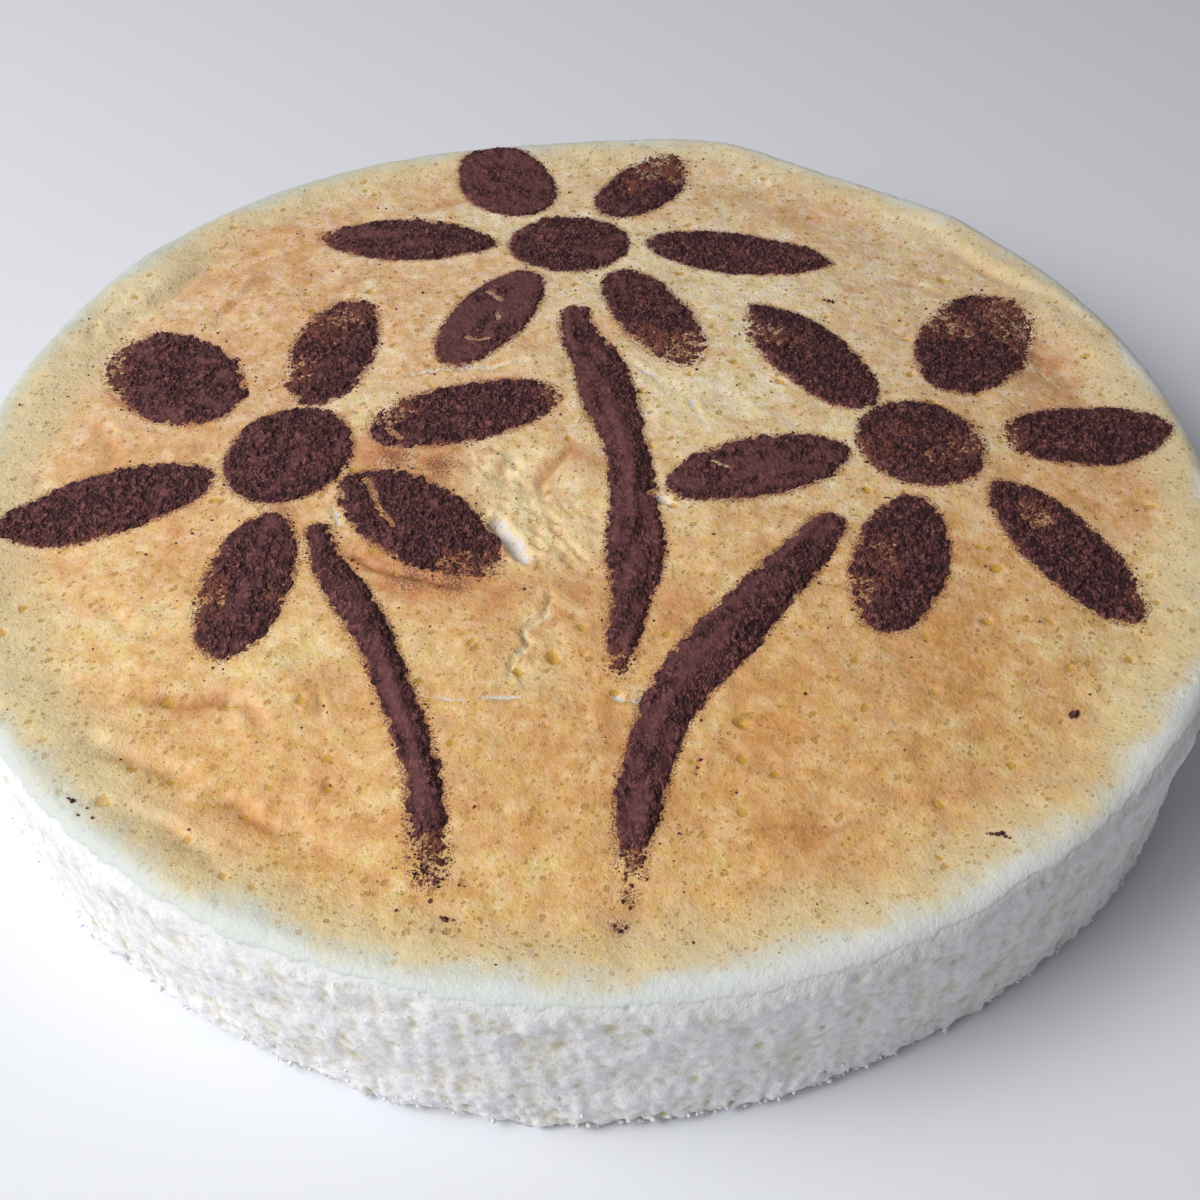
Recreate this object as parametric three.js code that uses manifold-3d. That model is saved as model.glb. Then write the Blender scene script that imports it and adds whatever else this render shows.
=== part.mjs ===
// A whole cloud cake: a tall, soft, round sponge with a thin baked crust, and three daisies with
// stems in cocoa powder on top. Millimetres, +Z up, standing on Z = 0 and centred on the Z axis.
// The front of the cake, where the stems end, faces -Y.
import * as THREE from 'three';
import * as BufferGeometryUtils from 'three/addons/utils/BufferGeometryUtils.js';
import Module from 'manifold-3d';

// ---- Driving dimensions ---------------------------------------------------------------------

const CAKE_RADIUS = 130;
const LIP_HEIGHT = 41.5;
const SHOULDER_RADIUS = 5.5;
const SIDE_FLARE = 0.8;
const FOOT_INSET = 1.8;
const FOOT_HEIGHT = 2.2;

// The dome rises from a shallow groove that runs round just inside the lip.
const GROOVE_HEIGHT = 39.6;
const GROOVE_REACH = 0.88;
const DOME_RISE = 6.2;
const LIP_START = 0.86;
const LIP_END = 0.95;

const MESH_STEP = 5.2;
const SIDE_STEPS = 5;
const SHOULDER_STEPS = 4;
const SPONGE_BULGE = 0.35;

const COCOA_GAP = 0.3;
const PETAL_DEPTH = 1.3;
const STEM_DEPTH = 1.8;
const STEM_STEP = 5.5;

// Where the outline leaves the circle: bearing and spread in degrees, and how far out.
const OUTLINE_BUMPS = [
  { at: 74, spread: 6, out: 3.6 },
  { at: 98, spread: 9, out: -1.8 },
  { at: 57, spread: 7, out: -1.6 },
  { at: 137, spread: 12, out: 0.8 },
  { at: 166, spread: 9, out: -1.0 },
  { at: 262, spread: 20, out: 0.6 },
  { at: 242, spread: 16, out: -0.9 },
  { at: 330, spread: 14, out: 2.2 },
];

// Soft rises (+) and hollows (-) of the crust: centre, radius and height.
const SWELLS = [
  { x: -10, y: -18, radius: 15, rise: -1.0 },
  { x: -1, y: -10, radius: 6, rise: 0.8 },
  { x: -66, y: -72, radius: 8, rise: -1.2 },
  { x: -58, y: -64, radius: 7, rise: 0.8 },
  { x: -96, y: 66, radius: 12, rise: 1.3 },
  { x: -72, y: 84, radius: 10, rise: 0.8 },
  { x: 107, y: 28, radius: 8, rise: -1.4 },
  { x: 90, y: 88, radius: 9, rise: 0.9 },
  { x: 54, y: -78, radius: 16, rise: 0.7 },
  { x: 18, y: -96, radius: 14, rise: -0.6 },
  { x: -30, y: -78, radius: 14, rise: 0.6 },
  { x: 30, y: 62, radius: 16, rise: -0.6 },
];

// Folds where the crust wrinkled as it sank: from, to, width and depth.
const FOLDS = [
  { from: [-87, -75], to: [-69, -83], width: 3.2, depth: 1.0 },
  { from: [-62, -88], to: [-49, -96], width: 3.2, depth: 1.2 },
  { from: [-78, -91], to: [-62, -101], width: 3.4, depth: 1.1 },
  { from: [-103, 54], to: [-88, 70], width: 3.4, depth: 1.3 },
  { from: [-116, 49], to: [-106, 56], width: 3.2, depth: 0.9 },
  { from: [-83, 48], to: [-69, 69], width: 3.6, depth: 0.8 },
  { from: [82, 86], to: [98, 65], width: 3.4, depth: 1.2 },
  { from: [98, 65], to: [119, 39], width: 3.6, depth: 1.1 },
];

// Open tears in the crust: their run, widest width and depth.
const TEARS = [
  { path: [[-17.5, -21.5], [-14.5, -28.5], [-10, -37]], width: 4.2, depth: 2.6 },
  { path: [[-6.8, -42], [-6.8, -49.4], [-11, -54], [-11.7, -59], [-13.5, -66]], width: 3.4, depth: 1.8 },
  { path: [[-35, 23.2], [-24, 25.2], [-12, 26.6]], width: 3.0, depth: 1.6 },
];

// One daisy of six petals round an oval centre. Each petal has the bearing and distance of its
// middle from the daisy's, its length and width, the way it points where that isn't its bearing,
// and how sharp its outer and inner ends are: 1 is an ellipse's end, more is more pointed.
const DAISIES = {
  top: {
    centre: { x: -2.2, y: 75.5, length: 29.4, width: 26.4, points: 0 },
    petals: [
      { bearing: 354, reach: 41, length: 45, width: 18.7, points: 348.8, outer: 1.5, inner: 0.9 },
      { bearing: 55.5, reach: 35.2, length: 38, width: 18.4, points: 62.7, outer: 1.1, inner: 0.9 },
      { bearing: 115.4, reach: 37.7, length: 39, width: 24, points: 110, outer: 0.7, inner: 1.1 },
      { bearing: 175, reach: 39.8, length: 45.4, width: 19.3, points: 171.6, outer: 1.8, inner: 1.4 },
      { bearing: 240.5, reach: 36.1, length: 41, width: 18.1, points: 243.5, outer: 0.9, inner: 1.0 },
      { bearing: 300.7, reach: 37.1, length: 41.6, width: 17.4, points: 292.8, outer: 1.1, inner: 0.9 },
    ],
  },
  left: {
    centre: { x: -60.5, y: -2.3, length: 31, width: 26.6, points: 77 },
    petals: [
      { bearing: 17.9, reach: 38.2, length: 42, width: 19.9, points: 15.8, outer: 1.2, inner: 0.8 },
      { bearing: 80.7, reach: 36.2, length: 40.5, width: 19.3, points: 83.3, outer: 0.9, inner: 1.0 },
      { bearing: 135, reach: 40.3, length: 41, width: 26, points: 131.6, outer: 0.8, inner: 1.1 },
      { bearing: 198.5, reach: 38.1, length: 44.8, width: 19.6, points: 196, outer: 1.6, inner: 1.0 },
      { bearing: 264, reach: 37.2, length: 38.3, width: 18, points: 261.9, outer: 1.0, inner: 1.0 },
      { bearing: 322.1, reach: 35.7, length: 41.7, width: 20.5, points: 317.2, outer: 0.9, inner: 1.1 },
    ],
  },
  right: {
    centre: { x: 70.8, y: -0.9, length: 27.8, width: 27, points: 302 },
    petals: [
      { bearing: 8.5, reach: 38, length: 39.2, width: 20, points: 7.5, outer: 1.1, inner: 1.2 },
      { bearing: 63.8, reach: 40.8, length: 43, width: 24.5, points: 61.4, outer: 0.9, inner: 1.1 },
      { bearing: 124, reach: 36.6, length: 44, width: 19.5, points: 119.2, outer: 1.5, inner: 0.9 },
      { bearing: 193.9, reach: 35.5, length: 39.9, width: 17.8, points: 198, outer: 1.0, inner: 1.0 },
      { bearing: 254.9, reach: 36, length: 39, width: 18.4, points: 250.8, outer: 0.9, inner: 1.1 },
      { bearing: 308.7, reach: 38.4, length: 43, width: 18, points: 298.5, outer: 0.9, inner: 1.0 },
    ],
  },
};

// Stems: points along the middle, each with the stem's width there.
const STEMS = {
  top: [
    [-0.9, 43.5, 7], [0, 35.5, 9], [3.2, 28, 10.5], [5, 19.5, 12], [6.4, 10.5, 12.4], [8.5, 0.5, 9.5],
    [10, -10, 9.2], [10.3, -21.5, 10], [10.4, -30, 11.8], [10, -38, 11], [8.9, -46, 7.6], [7.4, -54, 6.6],
    [6.3, -62.5, 5],
  ],
  left: [
    [-52, -26.5, 5], [-48.9, -35.5, 6.6], [-43.6, -45, 8], [-38.9, -54, 7.4], [-35.3, -63.5, 6.6],
    [-31.8, -73, 7], [-29, -82, 6.6], [-27, -93, 6], [-26.1, -104.5, 4],
  ],
  right: [
    [48.4, -26.5, 7.6], [41.6, -36, 9.6], [35.8, -43, 10.4], [30.5, -50, 11.4], [25, -56.6, 12],
    [19.8, -63.6, 11], [15.4, -71, 10], [12.7, -77.5, 9.4], [10.4, -85.5, 9], [8.4, -94, 8],
    [7.2, -104.5, 4.6],
  ],
};

const CRUST_COLOUR = 0xdcbb85;
const COCOA_COLOUR = 0x4b3230;

// ---- The cake's surface ---------------------------------------------------------------------

function outlineRadius(angle) {
  let radius = CAKE_RADIUS;
  for (const bump of OUTLINE_BUMPS) {
    const off = THREE.MathUtils.euclideanModulo(THREE.MathUtils.radToDeg(angle) - bump.at + 180, 360) - 180;
    radius += bump.out * Math.exp(-0.5 * (off / bump.spread) ** 2);
  }
  return radius;
}

function swellHeight(x, y) {
  let height = 0;
  for (const swell of SWELLS) {
    const away = Math.hypot(x - swell.x, y - swell.y) / swell.radius;
    height += swell.rise * Math.exp(-away * away);
  }
  return height;
}

function foldDepth(x, y) {
  const point = new THREE.Vector2(x, y);
  let depth = 0;
  for (const fold of FOLDS) {
    const start = new THREE.Vector2(...fold.from);
    const run = new THREE.Vector2(...fold.to).sub(start);
    const along = THREE.MathUtils.clamp(point.clone().sub(start).dot(run) / run.lengthSq(), 0, 1);
    const away = point.distanceTo(start.addScaledVector(run, along)) / fold.width;
    depth += fold.depth * Math.exp(-away * away);
  }
  return depth;
}

// Height of the crust inside the shoulder, from the dome, the groove, the lip and the relief.
function crustHeight(x, y) {
  const reach = Math.hypot(x, y) / outlineRadius(Math.atan2(y, x));
  const dome = GROOVE_HEIGHT + DOME_RISE * (1 - (reach / GROOVE_REACH) ** 2);
  const lip = THREE.MathUtils.smoothstep(reach, LIP_START, LIP_END);
  return THREE.MathUtils.lerp(dome, LIP_HEIGHT, lip) + swellHeight(x, y) - foldDepth(x, y);
}

// The torn sponge of the side, as a change of radius.
function spongeBulge(angle, height) {
  const broad = Math.sin(7 * angle + 0.12 * height);
  const fine = Math.sin(23 * angle - 0.31 * height + 1.1);
  return SPONGE_BULGE * (broad + 0.6 * fine);
}

// ---- Closed meshes from rings ---------------------------------------------------------------

// Joins rings of points, listed from the underside's middle outwards, up and over to the top's
// middle. A ring may have any number of points, evenly spread and starting at the same bearing.
function closedGeometry(rings) {
  const positions = rings.flat(2);
  const indices = [];
  let first = 0;
  for (let level = 0; level + 1 < rings.length; level += 1) {
    const lower = rings[level].length;
    const upper = rings[level + 1].length;
    const second = first + lower;
    let i = 0;
    let j = 0;
    while (i < lower || j < upper) {
      const stepLower = upper === 1 || (i < lower && (i + 1) * upper <= (j + 1) * lower);
      if (stepLower && lower > 1) {
        indices.push(first + (i % lower), first + ((i + 1) % lower), second + (j % upper));
        i += 1;
      } else {
        indices.push(first + (i % lower), second + ((j + 1) % upper), second + (j % upper));
        j += 1;
      }
      if (lower === 1 && j === upper) break;
      if (upper === 1 && i === lower) break;
    }
    first = second;
  }
  const geometry = new THREE.BufferGeometry();
  geometry.setAttribute('position', new THREE.Float32BufferAttribute(positions, 3));
  geometry.setIndex(indices);
  return geometry;
}

function circlePoints(count, place) {
  return Array.from({ length: count }, (_, k) => place((2 * Math.PI * k) / count));
}

// ---- The cake -------------------------------------------------------------------------------

// A ring of the side or shoulder, at a height and a distance inside the outline.
function sideRing(count, height, inset) {
  return circlePoints(count, (angle) => {
    const radius = outlineRadius(angle) - inset + spongeBulge(angle, height);
    return [radius * Math.cos(angle), radius * Math.sin(angle), height];
  });
}

// A ring of the shoulder: a quarter turn from the side to the lip, blended into the crust.
function shoulderRing(count, turn) {
  const inset = SHOULDER_RADIUS * (1 - Math.cos(turn)) - SIDE_FLARE;
  const drop = SHOULDER_RADIUS * (1 - Math.sin(turn));
  return circlePoints(count, (angle) => {
    const fade = Math.cos(turn);
    const radius = outlineRadius(angle) - inset + fade * spongeBulge(angle, LIP_HEIGHT - drop);
    const x = radius * Math.cos(angle);
    const y = radius * Math.sin(angle);
    return [x, y, crustHeight(x, y) - drop];
  });
}

function crustRing(radius) {
  const count = Math.max(6, Math.round((2 * Math.PI * radius) / MESH_STEP));
  return circlePoints(count, (angle) => {
    const reach = (radius * outlineRadius(angle)) / CAKE_RADIUS;
    const x = reach * Math.cos(angle);
    const y = reach * Math.sin(angle);
    return [x, y, crustHeight(x, y)];
  });
}

function cakeGeometry() {
  const around = Math.round((2 * Math.PI * CAKE_RADIUS) / MESH_STEP);
  const sideTop = LIP_HEIGHT - SHOULDER_RADIUS;
  const rings = [[[0, 0, 0]], sideRing(24, 0, CAKE_RADIUS / 2), sideRing(around, 0, FOOT_INSET)];
  for (let step = 0; step < SIDE_STEPS; step += 1) {
    const share = step / SIDE_STEPS;
    const height = THREE.MathUtils.lerp(FOOT_HEIGHT, sideTop, share);
    rings.push(sideRing(around, height, SIDE_FLARE * (1 - 2 * share)));
  }
  for (let step = 0; step <= SHOULDER_STEPS; step += 1) {
    rings.push(shoulderRing(around, (step / SHOULDER_STEPS) * (Math.PI / 2)));
  }
  const innerRadius = CAKE_RADIUS - SHOULDER_RADIUS + SIDE_FLARE;
  const crustSteps = Math.round(innerRadius / MESH_STEP);
  for (let step = crustSteps - 1; step > 0; step -= 1) {
    rings.push(crustRing((step / crustSteps) * innerRadius));
  }
  rings.push([[0, 0, crustHeight(0, 0)]]);
  return closedGeometry(rings);
}

// A tear is cut by a keel: a lens in plan, from above the crust down to a thin bottom edge.
function tearKeel(tear) {
  const path = new THREE.CatmullRomCurve3(tear.path.map(([x, y]) => new THREE.Vector3(x, y, 0)));
  const stations = 10;
  const clearance = 3;
  const sections = [];
  for (let k = 0; k <= stations; k += 1) {
    const middle = path.getPointAt(k / stations);
    const ahead = path.getTangentAt(k / stations);
    const opening = Math.sin((Math.PI * (k + 0.4)) / (stations + 0.8));
    const half = (tear.width / 2) * opening;
    const surface = crustHeight(middle.x, middle.y);
    sections.push([
      [middle.x - ahead.y * half, middle.y + ahead.x * half, surface + clearance],
      [middle.x, middle.y, surface - tear.depth * opening],
      [middle.x + ahead.y * half, middle.y - ahead.x * half, surface + clearance],
    ]);
  }
  return prismGeometry(sections);
}

// A closed prism from equal sections, each a loop of points that runs anticlockwise when seen
// from the prism's start.
function prismGeometry(sections) {
  const size = sections[0].length;
  const indices = [];
  for (let k = 0; k + 1 < sections.length; k += 1) {
    for (let i = 0; i < size; i += 1) {
      const here = k * size + i;
      const next = k * size + ((i + 1) % size);
      indices.push(here, here + size, next + size, here, next + size, next);
    }
  }
  const last = (sections.length - 1) * size;
  for (let i = 1; i + 1 < size; i += 1) {
    indices.push(0, i, i + 1);
    indices.push(last, last + i + 1, last + i);
  }
  const geometry = new THREE.BufferGeometry();
  geometry.setAttribute('position', new THREE.Float32BufferAttribute(sections.flat(2), 3));
  geometry.setIndex(indices);
  return geometry;
}

const wasm = await Module();
wasm.setup();

function solidFrom(geometry) {
  const merged = BufferGeometryUtils.mergeVertices(geometry);
  const vertProperties = new Float32Array(merged.attributes.position.array);
  const triVerts = new Uint32Array(merged.index.array);
  return new wasm.Manifold(new wasm.Mesh({ numProp: 3, vertProperties, triVerts }));
}

function geometryFrom(solid) {
  const mesh = solid.getMesh();
  const geometry = new THREE.BufferGeometry();
  geometry.setAttribute('position', new THREE.BufferAttribute(mesh.vertProperties, 3));
  geometry.setIndex(new THREE.BufferAttribute(mesh.triVerts, 1));
  return geometry;
}

function tornCakeGeometry() {
  let cake = solidFrom(cakeGeometry());
  for (const tear of TEARS) {
    cake = cake.subtract(solidFrom(tearKeel(tear)));
  }
  return geometryFrom(cake);
}

// ---- Cocoa ----------------------------------------------------------------------------------

// A patch of powder that lies on the crust: lens-shaped in section, with a steep edge.
function patchGeometry({ x, y, length, width, points, outer = 1, inner = 1 }) {
  const heading = THREE.MathUtils.degToRad(points);
  const place = (angle, scale, rise) => {
    const t = Math.cos(angle);
    const sharp = t > 0 ? THREE.MathUtils.lerp(1, outer, t) : THREE.MathUtils.lerp(1, inner, -t);
    const u = (length / 2) * t * scale;
    const v = (width / 2) * Math.sign(Math.sin(angle)) * Math.abs(Math.sin(angle)) ** sharp * scale;
    const px = x + u * Math.cos(heading) - v * Math.sin(heading);
    const py = y + u * Math.sin(heading) + v * Math.cos(heading);
    return [px, py, crustHeight(px, py) + COCOA_GAP + rise];
  };
  const ring = (count, scale, rise) => circlePoints(count, (angle) => place(angle, scale, rise));
  return closedGeometry([
    [place(0, 0, 0)],
    ring(6, 0.34, 0),
    ring(12, 0.68, 0),
    ring(18, 1, 0),
    ring(18, 0.96, 0.6 * PETAL_DEPTH),
    ring(12, 0.68, 0.9 * PETAL_DEPTH),
    ring(6, 0.34, PETAL_DEPTH),
    [place(0, 0, PETAL_DEPTH)],
  ]);
}

function stemGeometry(stem) {
  const route = new THREE.CatmullRomCurve3(stem.map(([x, y, width]) => new THREE.Vector3(x, y, width)));
  const steps = Math.round(route.getLength() / STEM_STEP);
  const sections = [];
  for (let k = 0; k <= steps; k += 1) {
    const middle = route.getPoint(k / steps);
    const ahead = route.getTangent(k / steps).setZ(0).normalize();
    const half = middle.z / 2;
    const place = (side, rise) => {
      const px = middle.x + ahead.y * half * side;
      const py = middle.y - ahead.x * half * side;
      return [px, py, crustHeight(px, py) + COCOA_GAP + rise];
    };
    sections.push([
      place(-1, 0),
      place(0, 0),
      place(1, 0),
      place(0.86, 0.6 * STEM_DEPTH),
      place(0, STEM_DEPTH),
      place(-0.86, 0.6 * STEM_DEPTH),
    ]);
  }
  return prismGeometry(sections);
}

// ---- Assembly -------------------------------------------------------------------------------

const group = new THREE.Group();

function addMesh(name, geometry, colour, roughness) {
  const material = new THREE.MeshStandardMaterial({ color: colour, roughness, metalness: 0 });
  const mesh = new THREE.Mesh(geometry, material);
  mesh.name = name;
  group.add(mesh);
}

addMesh('cake_body', tornCakeGeometry(), CRUST_COLOUR, 0.75);

for (const [name, { centre, petals }] of Object.entries(DAISIES)) {
  addMesh(`cocoa_${name}_centre`, patchGeometry(centre), COCOA_COLOUR, 0.95);
  petals.forEach((petal, index) => {
    const bearing = THREE.MathUtils.degToRad(petal.bearing);
    const x = centre.x + petal.reach * Math.cos(bearing);
    const y = centre.y + petal.reach * Math.sin(bearing);
    addMesh(`cocoa_${name}_petal_${index + 1}`, patchGeometry({ ...petal, x, y }), COCOA_COLOUR, 0.95);
  });
  addMesh(`cocoa_${name}_stem`, stemGeometry(STEMS[name]), COCOA_COLOUR, 0.95);
}

export default group;
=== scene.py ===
"""A whole cloud cake with cocoa daisies on its crust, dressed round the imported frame.

Laid out as a Blender add-on. Shapes are worked out in millimetres in the frame's own axes, and
turned into metres where a mesh is made.
"""

import math
from itertools import product

import bpy
import numpy as np
from bpy.props import FloatProperty, FloatVectorProperty, IntProperty, PointerProperty
from mathutils import Matrix, Vector


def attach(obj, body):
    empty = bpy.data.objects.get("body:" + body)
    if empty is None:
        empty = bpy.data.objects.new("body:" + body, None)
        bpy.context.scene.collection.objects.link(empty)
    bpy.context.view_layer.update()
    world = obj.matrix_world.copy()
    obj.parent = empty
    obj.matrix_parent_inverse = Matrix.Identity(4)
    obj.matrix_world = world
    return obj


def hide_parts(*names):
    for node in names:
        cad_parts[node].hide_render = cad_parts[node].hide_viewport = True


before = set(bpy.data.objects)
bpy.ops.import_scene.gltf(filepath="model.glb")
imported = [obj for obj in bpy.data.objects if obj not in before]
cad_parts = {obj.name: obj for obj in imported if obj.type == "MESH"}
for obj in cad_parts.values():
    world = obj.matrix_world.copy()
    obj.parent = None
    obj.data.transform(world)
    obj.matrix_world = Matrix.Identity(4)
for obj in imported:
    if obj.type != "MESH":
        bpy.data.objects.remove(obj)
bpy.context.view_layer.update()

bl_info = {
    "name": "Cloud cake",
    "version": (1, 0, 0),
    "blender": (4, 5, 0),
    "location": "3D View > Sidebar > Cake",
    "description": "Bakes a cloud cake and dusts it with cocoa daisies",
    "category": "Object",
}

MM = 0.001

# ---- Where things are on the cake, in millimetres and degrees --------------------------------

# The groove and the start and end of the lip, as shares of the way out to the outline.
GROOVE_REACH = 0.88
LIP_START, LIP_END = 0.83, 0.955

# The side leans out from foot to shoulder by this much either way, and tucks in at the foot.
SIDE_FLARE = 0.8
FOOT_INSET, FOOT_HEIGHT = 1.6, 2.6

# Out of sight, the crust's lid ends a little below the top of the sponge inside it.
LID_BOTTOM, SPONGE_TOP = 33.0, 35.0

# How far up the rounded shoulder the skin tore off the side, in degrees, and the sponge goes on.
TORN_AT, SPONGE_UP_TO = 44, 70

# The height of the side up to the shoulder, and where the shoulder's level is read.
SIDE_HEIGHT, BROW_REACH = 36, 0.966

# Fine relief of the crust: height, size of its features, seed of its noise.
RELIEF = [(0.32, 15, 61), (0.26, 6.5, 62), (0.15, 2.8, 63), (0.10, 1.5, 64)]

# Which way the streaks of the foam run.
FOAM_RUN = -58

# Depth of the cocoa, and how far its worn spots and its underside go below the crust.
PETAL_DEPTH, STEM_DEPTH = 0.75, 1.3
WORN_BELOW, POWDER_BELOW = 0.35, 0.7

# The lamps: size in metres, their colour, and the colour of the even light of the room.
LAMP_SIZE, LAMP_TINT, ROOM_TINT = 0.8, (1.0, 0.99, 0.985), (0.98, 0.95, 1.0, 1.0)

# Where the outline leaves the circle: bearing, spread, how far out.
OUTLINE_BUMPS = [
    (74, 6, 3.6), (98, 9, -1.8), (57, 7, -1.6), (137, 12, 0.8), (166, 9, -1.0), (262, 20, 0.6),
    (242, 16, -0.9), (330, 14, 2.2),
]

# Soft rises (+) and hollows (-) of the crust: x, y, radius, height.
SWELLS = [
    (-10, -18, 15, -1.0), (-1, -10, 6, 0.8), (-66, -72, 8, -1.2), (-58, -64, 7, 0.8),
    (-96, 66, 12, 1.3), (-72, 84, 10, 0.8), (107, 28, 8, -1.4), (90, 88, 9, 0.9),
    (54, -78, 16, 0.7), (18, -96, 14, -0.6), (-30, -78, 14, 0.6), (30, 62, 16, -0.6),
]

# Folds where the crust wrinkled as it sank: start, end, width, depth.
FOLDS = [
    ((-87, -75), (-69, -83), 3.2, 0.6), ((-62, -88), (-49, -96), 3.2, 0.8),
    ((-78, -91), (-62, -101), 3.4, 0.6), ((-103, 54), (-88, 70), 3.4, 0.8),
    ((-116, 49), (-106, 56), 3.2, 0.6), ((-83, 48), (-69, 69), 3.6, 0.5),
    ((82, 86), (98, 65), 3.4, 0.4), ((98, 65), (119, 39), 3.6, 0.4),
]

# Open tears in the crust: points along the run, widest width, depth, how white the inside is.
TEARS = [
    ([(-17.3, -21.8), (-14.5, -28.5), (-10.6, -36)], 3.0, 1.6, 0.7),
    ([(-6.4, -41), (-6.2, -46), (-7.6, -50), (-11.2, -53.5), (-10.4, -57), (-13, -60.5),
      (-13.6, -66)], 1.2, 0.9, 0.0),
    ([(-38, 22.4), (-31, 24.6), (-22, 24.8), (-12, 26.8)], 1.4, 0.8, 0.35),
    ([(-29, -68.6), (-22, -69.8), (-15, -69.2), (-8, -69.9)], 0.9, 0.6, 0.6),
    ([(4.5, -69.4), (9, -70.4), (14.5, -70.2)], 0.9, 0.5, 0.5),
    ([(11, 26.5), (15.2, 21.6), (18.5, 18.6)], 1.0, 0.5, 0.8),
    ([(20, 17), (23.4, 12), (25.4, 5)], 0.8, 0.45, 0.6),
    ([(102, 31.5), (103.2, 27), (105.8, 20.4)], 0.8, 0.6, 0.0),
    ([(-46.6, -13), (-49.5, -19), (-48, -24)], 0.9, 0.6, 0.8),
    ([(14.6, -17.6), (17.4, -20.4)], 2.6, 1.2, 0.7),
]

# Creases of the skin, brown along the bottom: points, width, depth, how brown.
CREASES = [
    ([(-80, -66), (-75.6, -67.2), (-66.5, -67), (-60, -70), (-55.8, -76.8)], 2.2, 0.7, 0.75),
    ([(-87, -75), (-78, -79.4), (-69, -82.8)], 2.0, 0.6, 0.45),
    ([(-62.5, -88), (-56.5, -91), (-50, -95.6)], 1.8, 0.7, 0.5),
    ([(-77, -91), (-70, -95), (-62.5, -100.2)], 1.8, 0.6, 0.3),
    ([(-103, 53.5), (-96, 60.6), (-88, 69.6)], 2.2, 0.9, 0.55),
    ([(-115.5, 49.6), (-107, 55.2)], 1.8, 0.6, 0.35),
    ([(-112, 49), (-110.7, 42)], 1.8, 0.5, 0.35),
    ([(-83, 47.6), (-77.4, 60.6), (-69, 69)], 1.8, 0.6, 0.35),
    ([(82, 86), (90, 76.5), (98, 65), (106, 57), (112, 49), (119, 39)], 2.2, 0.4, 0.35),
    ([(74, 61), (84, 55)], 1.8, 0.5, 0.3),
    ([(27, -97.4), (33, -96.2), (41, -97), (49, -96.6)], 1.1, 0.35, 0.8),
    ([(-47.6, -66), (-46.6, -71.5)], 1.0, 0.4, 0.6),
    ([(19.8, -81.4), (18.8, -86.4)], 1.1, 0.4, 0.9),
    ([(-45, 90), (-30, 98), (-12, 101)], 2.6, 0.4, 0.25),
    ([(-66, 24), (-74, 16), (-84, 14)], 2.2, 0.45, 0.3),
    ([(-58, 48), (-54, 60), (-44, 72)], 2.4, 0.45, 0.25),
    ([(-104, 12), (-98, 2), (-100, -12)], 2.6, 0.4, 0.2),
    ([(-92, -42), (-84, -50), (-72, -52)], 2.4, 0.4, 0.2),
    ([(-20, -43), (-29, -41), (-38, -37), (-46, -31)], 1.6, 0.6, 0.9),
    ([(-0.4, -2.4), (-4.6, -7.6), (-8.2, -13), (-7.8, -18)], 1.7, 0.8, 0.95),
]

# Burst bubbles, ochre inside: x, y, radius.
BUBBLES = [
    (-82.6, -88.7, 1.2), (-75.2, -66.6, 1.2), (-44.3, -86.6, 0.9), (-58.1, -91.1, 0.9),
    (-51, -68.4, 0.8), (75.7, -50.5, 1.0), (27.5, -75, 1.2), (32, -86, 0.8), (-72, -84, 0.7),
    (86, 62, 1.2), (90, 52, 0.8), (60, -92, 0.9), (-60, -104, 0.8), (110, 6, 0.9), (24, 62, 0.7),
    (-5.5, -60, 1.3), (-12, -63.4, 1.0),
]

# Where the skin of the crust tore away and left streaky foam: x, y, radius, strength.
STREAKY = [
    (-16, -8, 8, 1.0), (-14, -24, 9, 1.0), (-4, -29, 9, 0.9), (-22, -12, 5, 0.4), (-24, 17, 8, 0.4),
    (16, 18, 8, 0.4), (-9, -52, 6, 0.4), (-10, -64, 6, 0.4),
]

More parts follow.
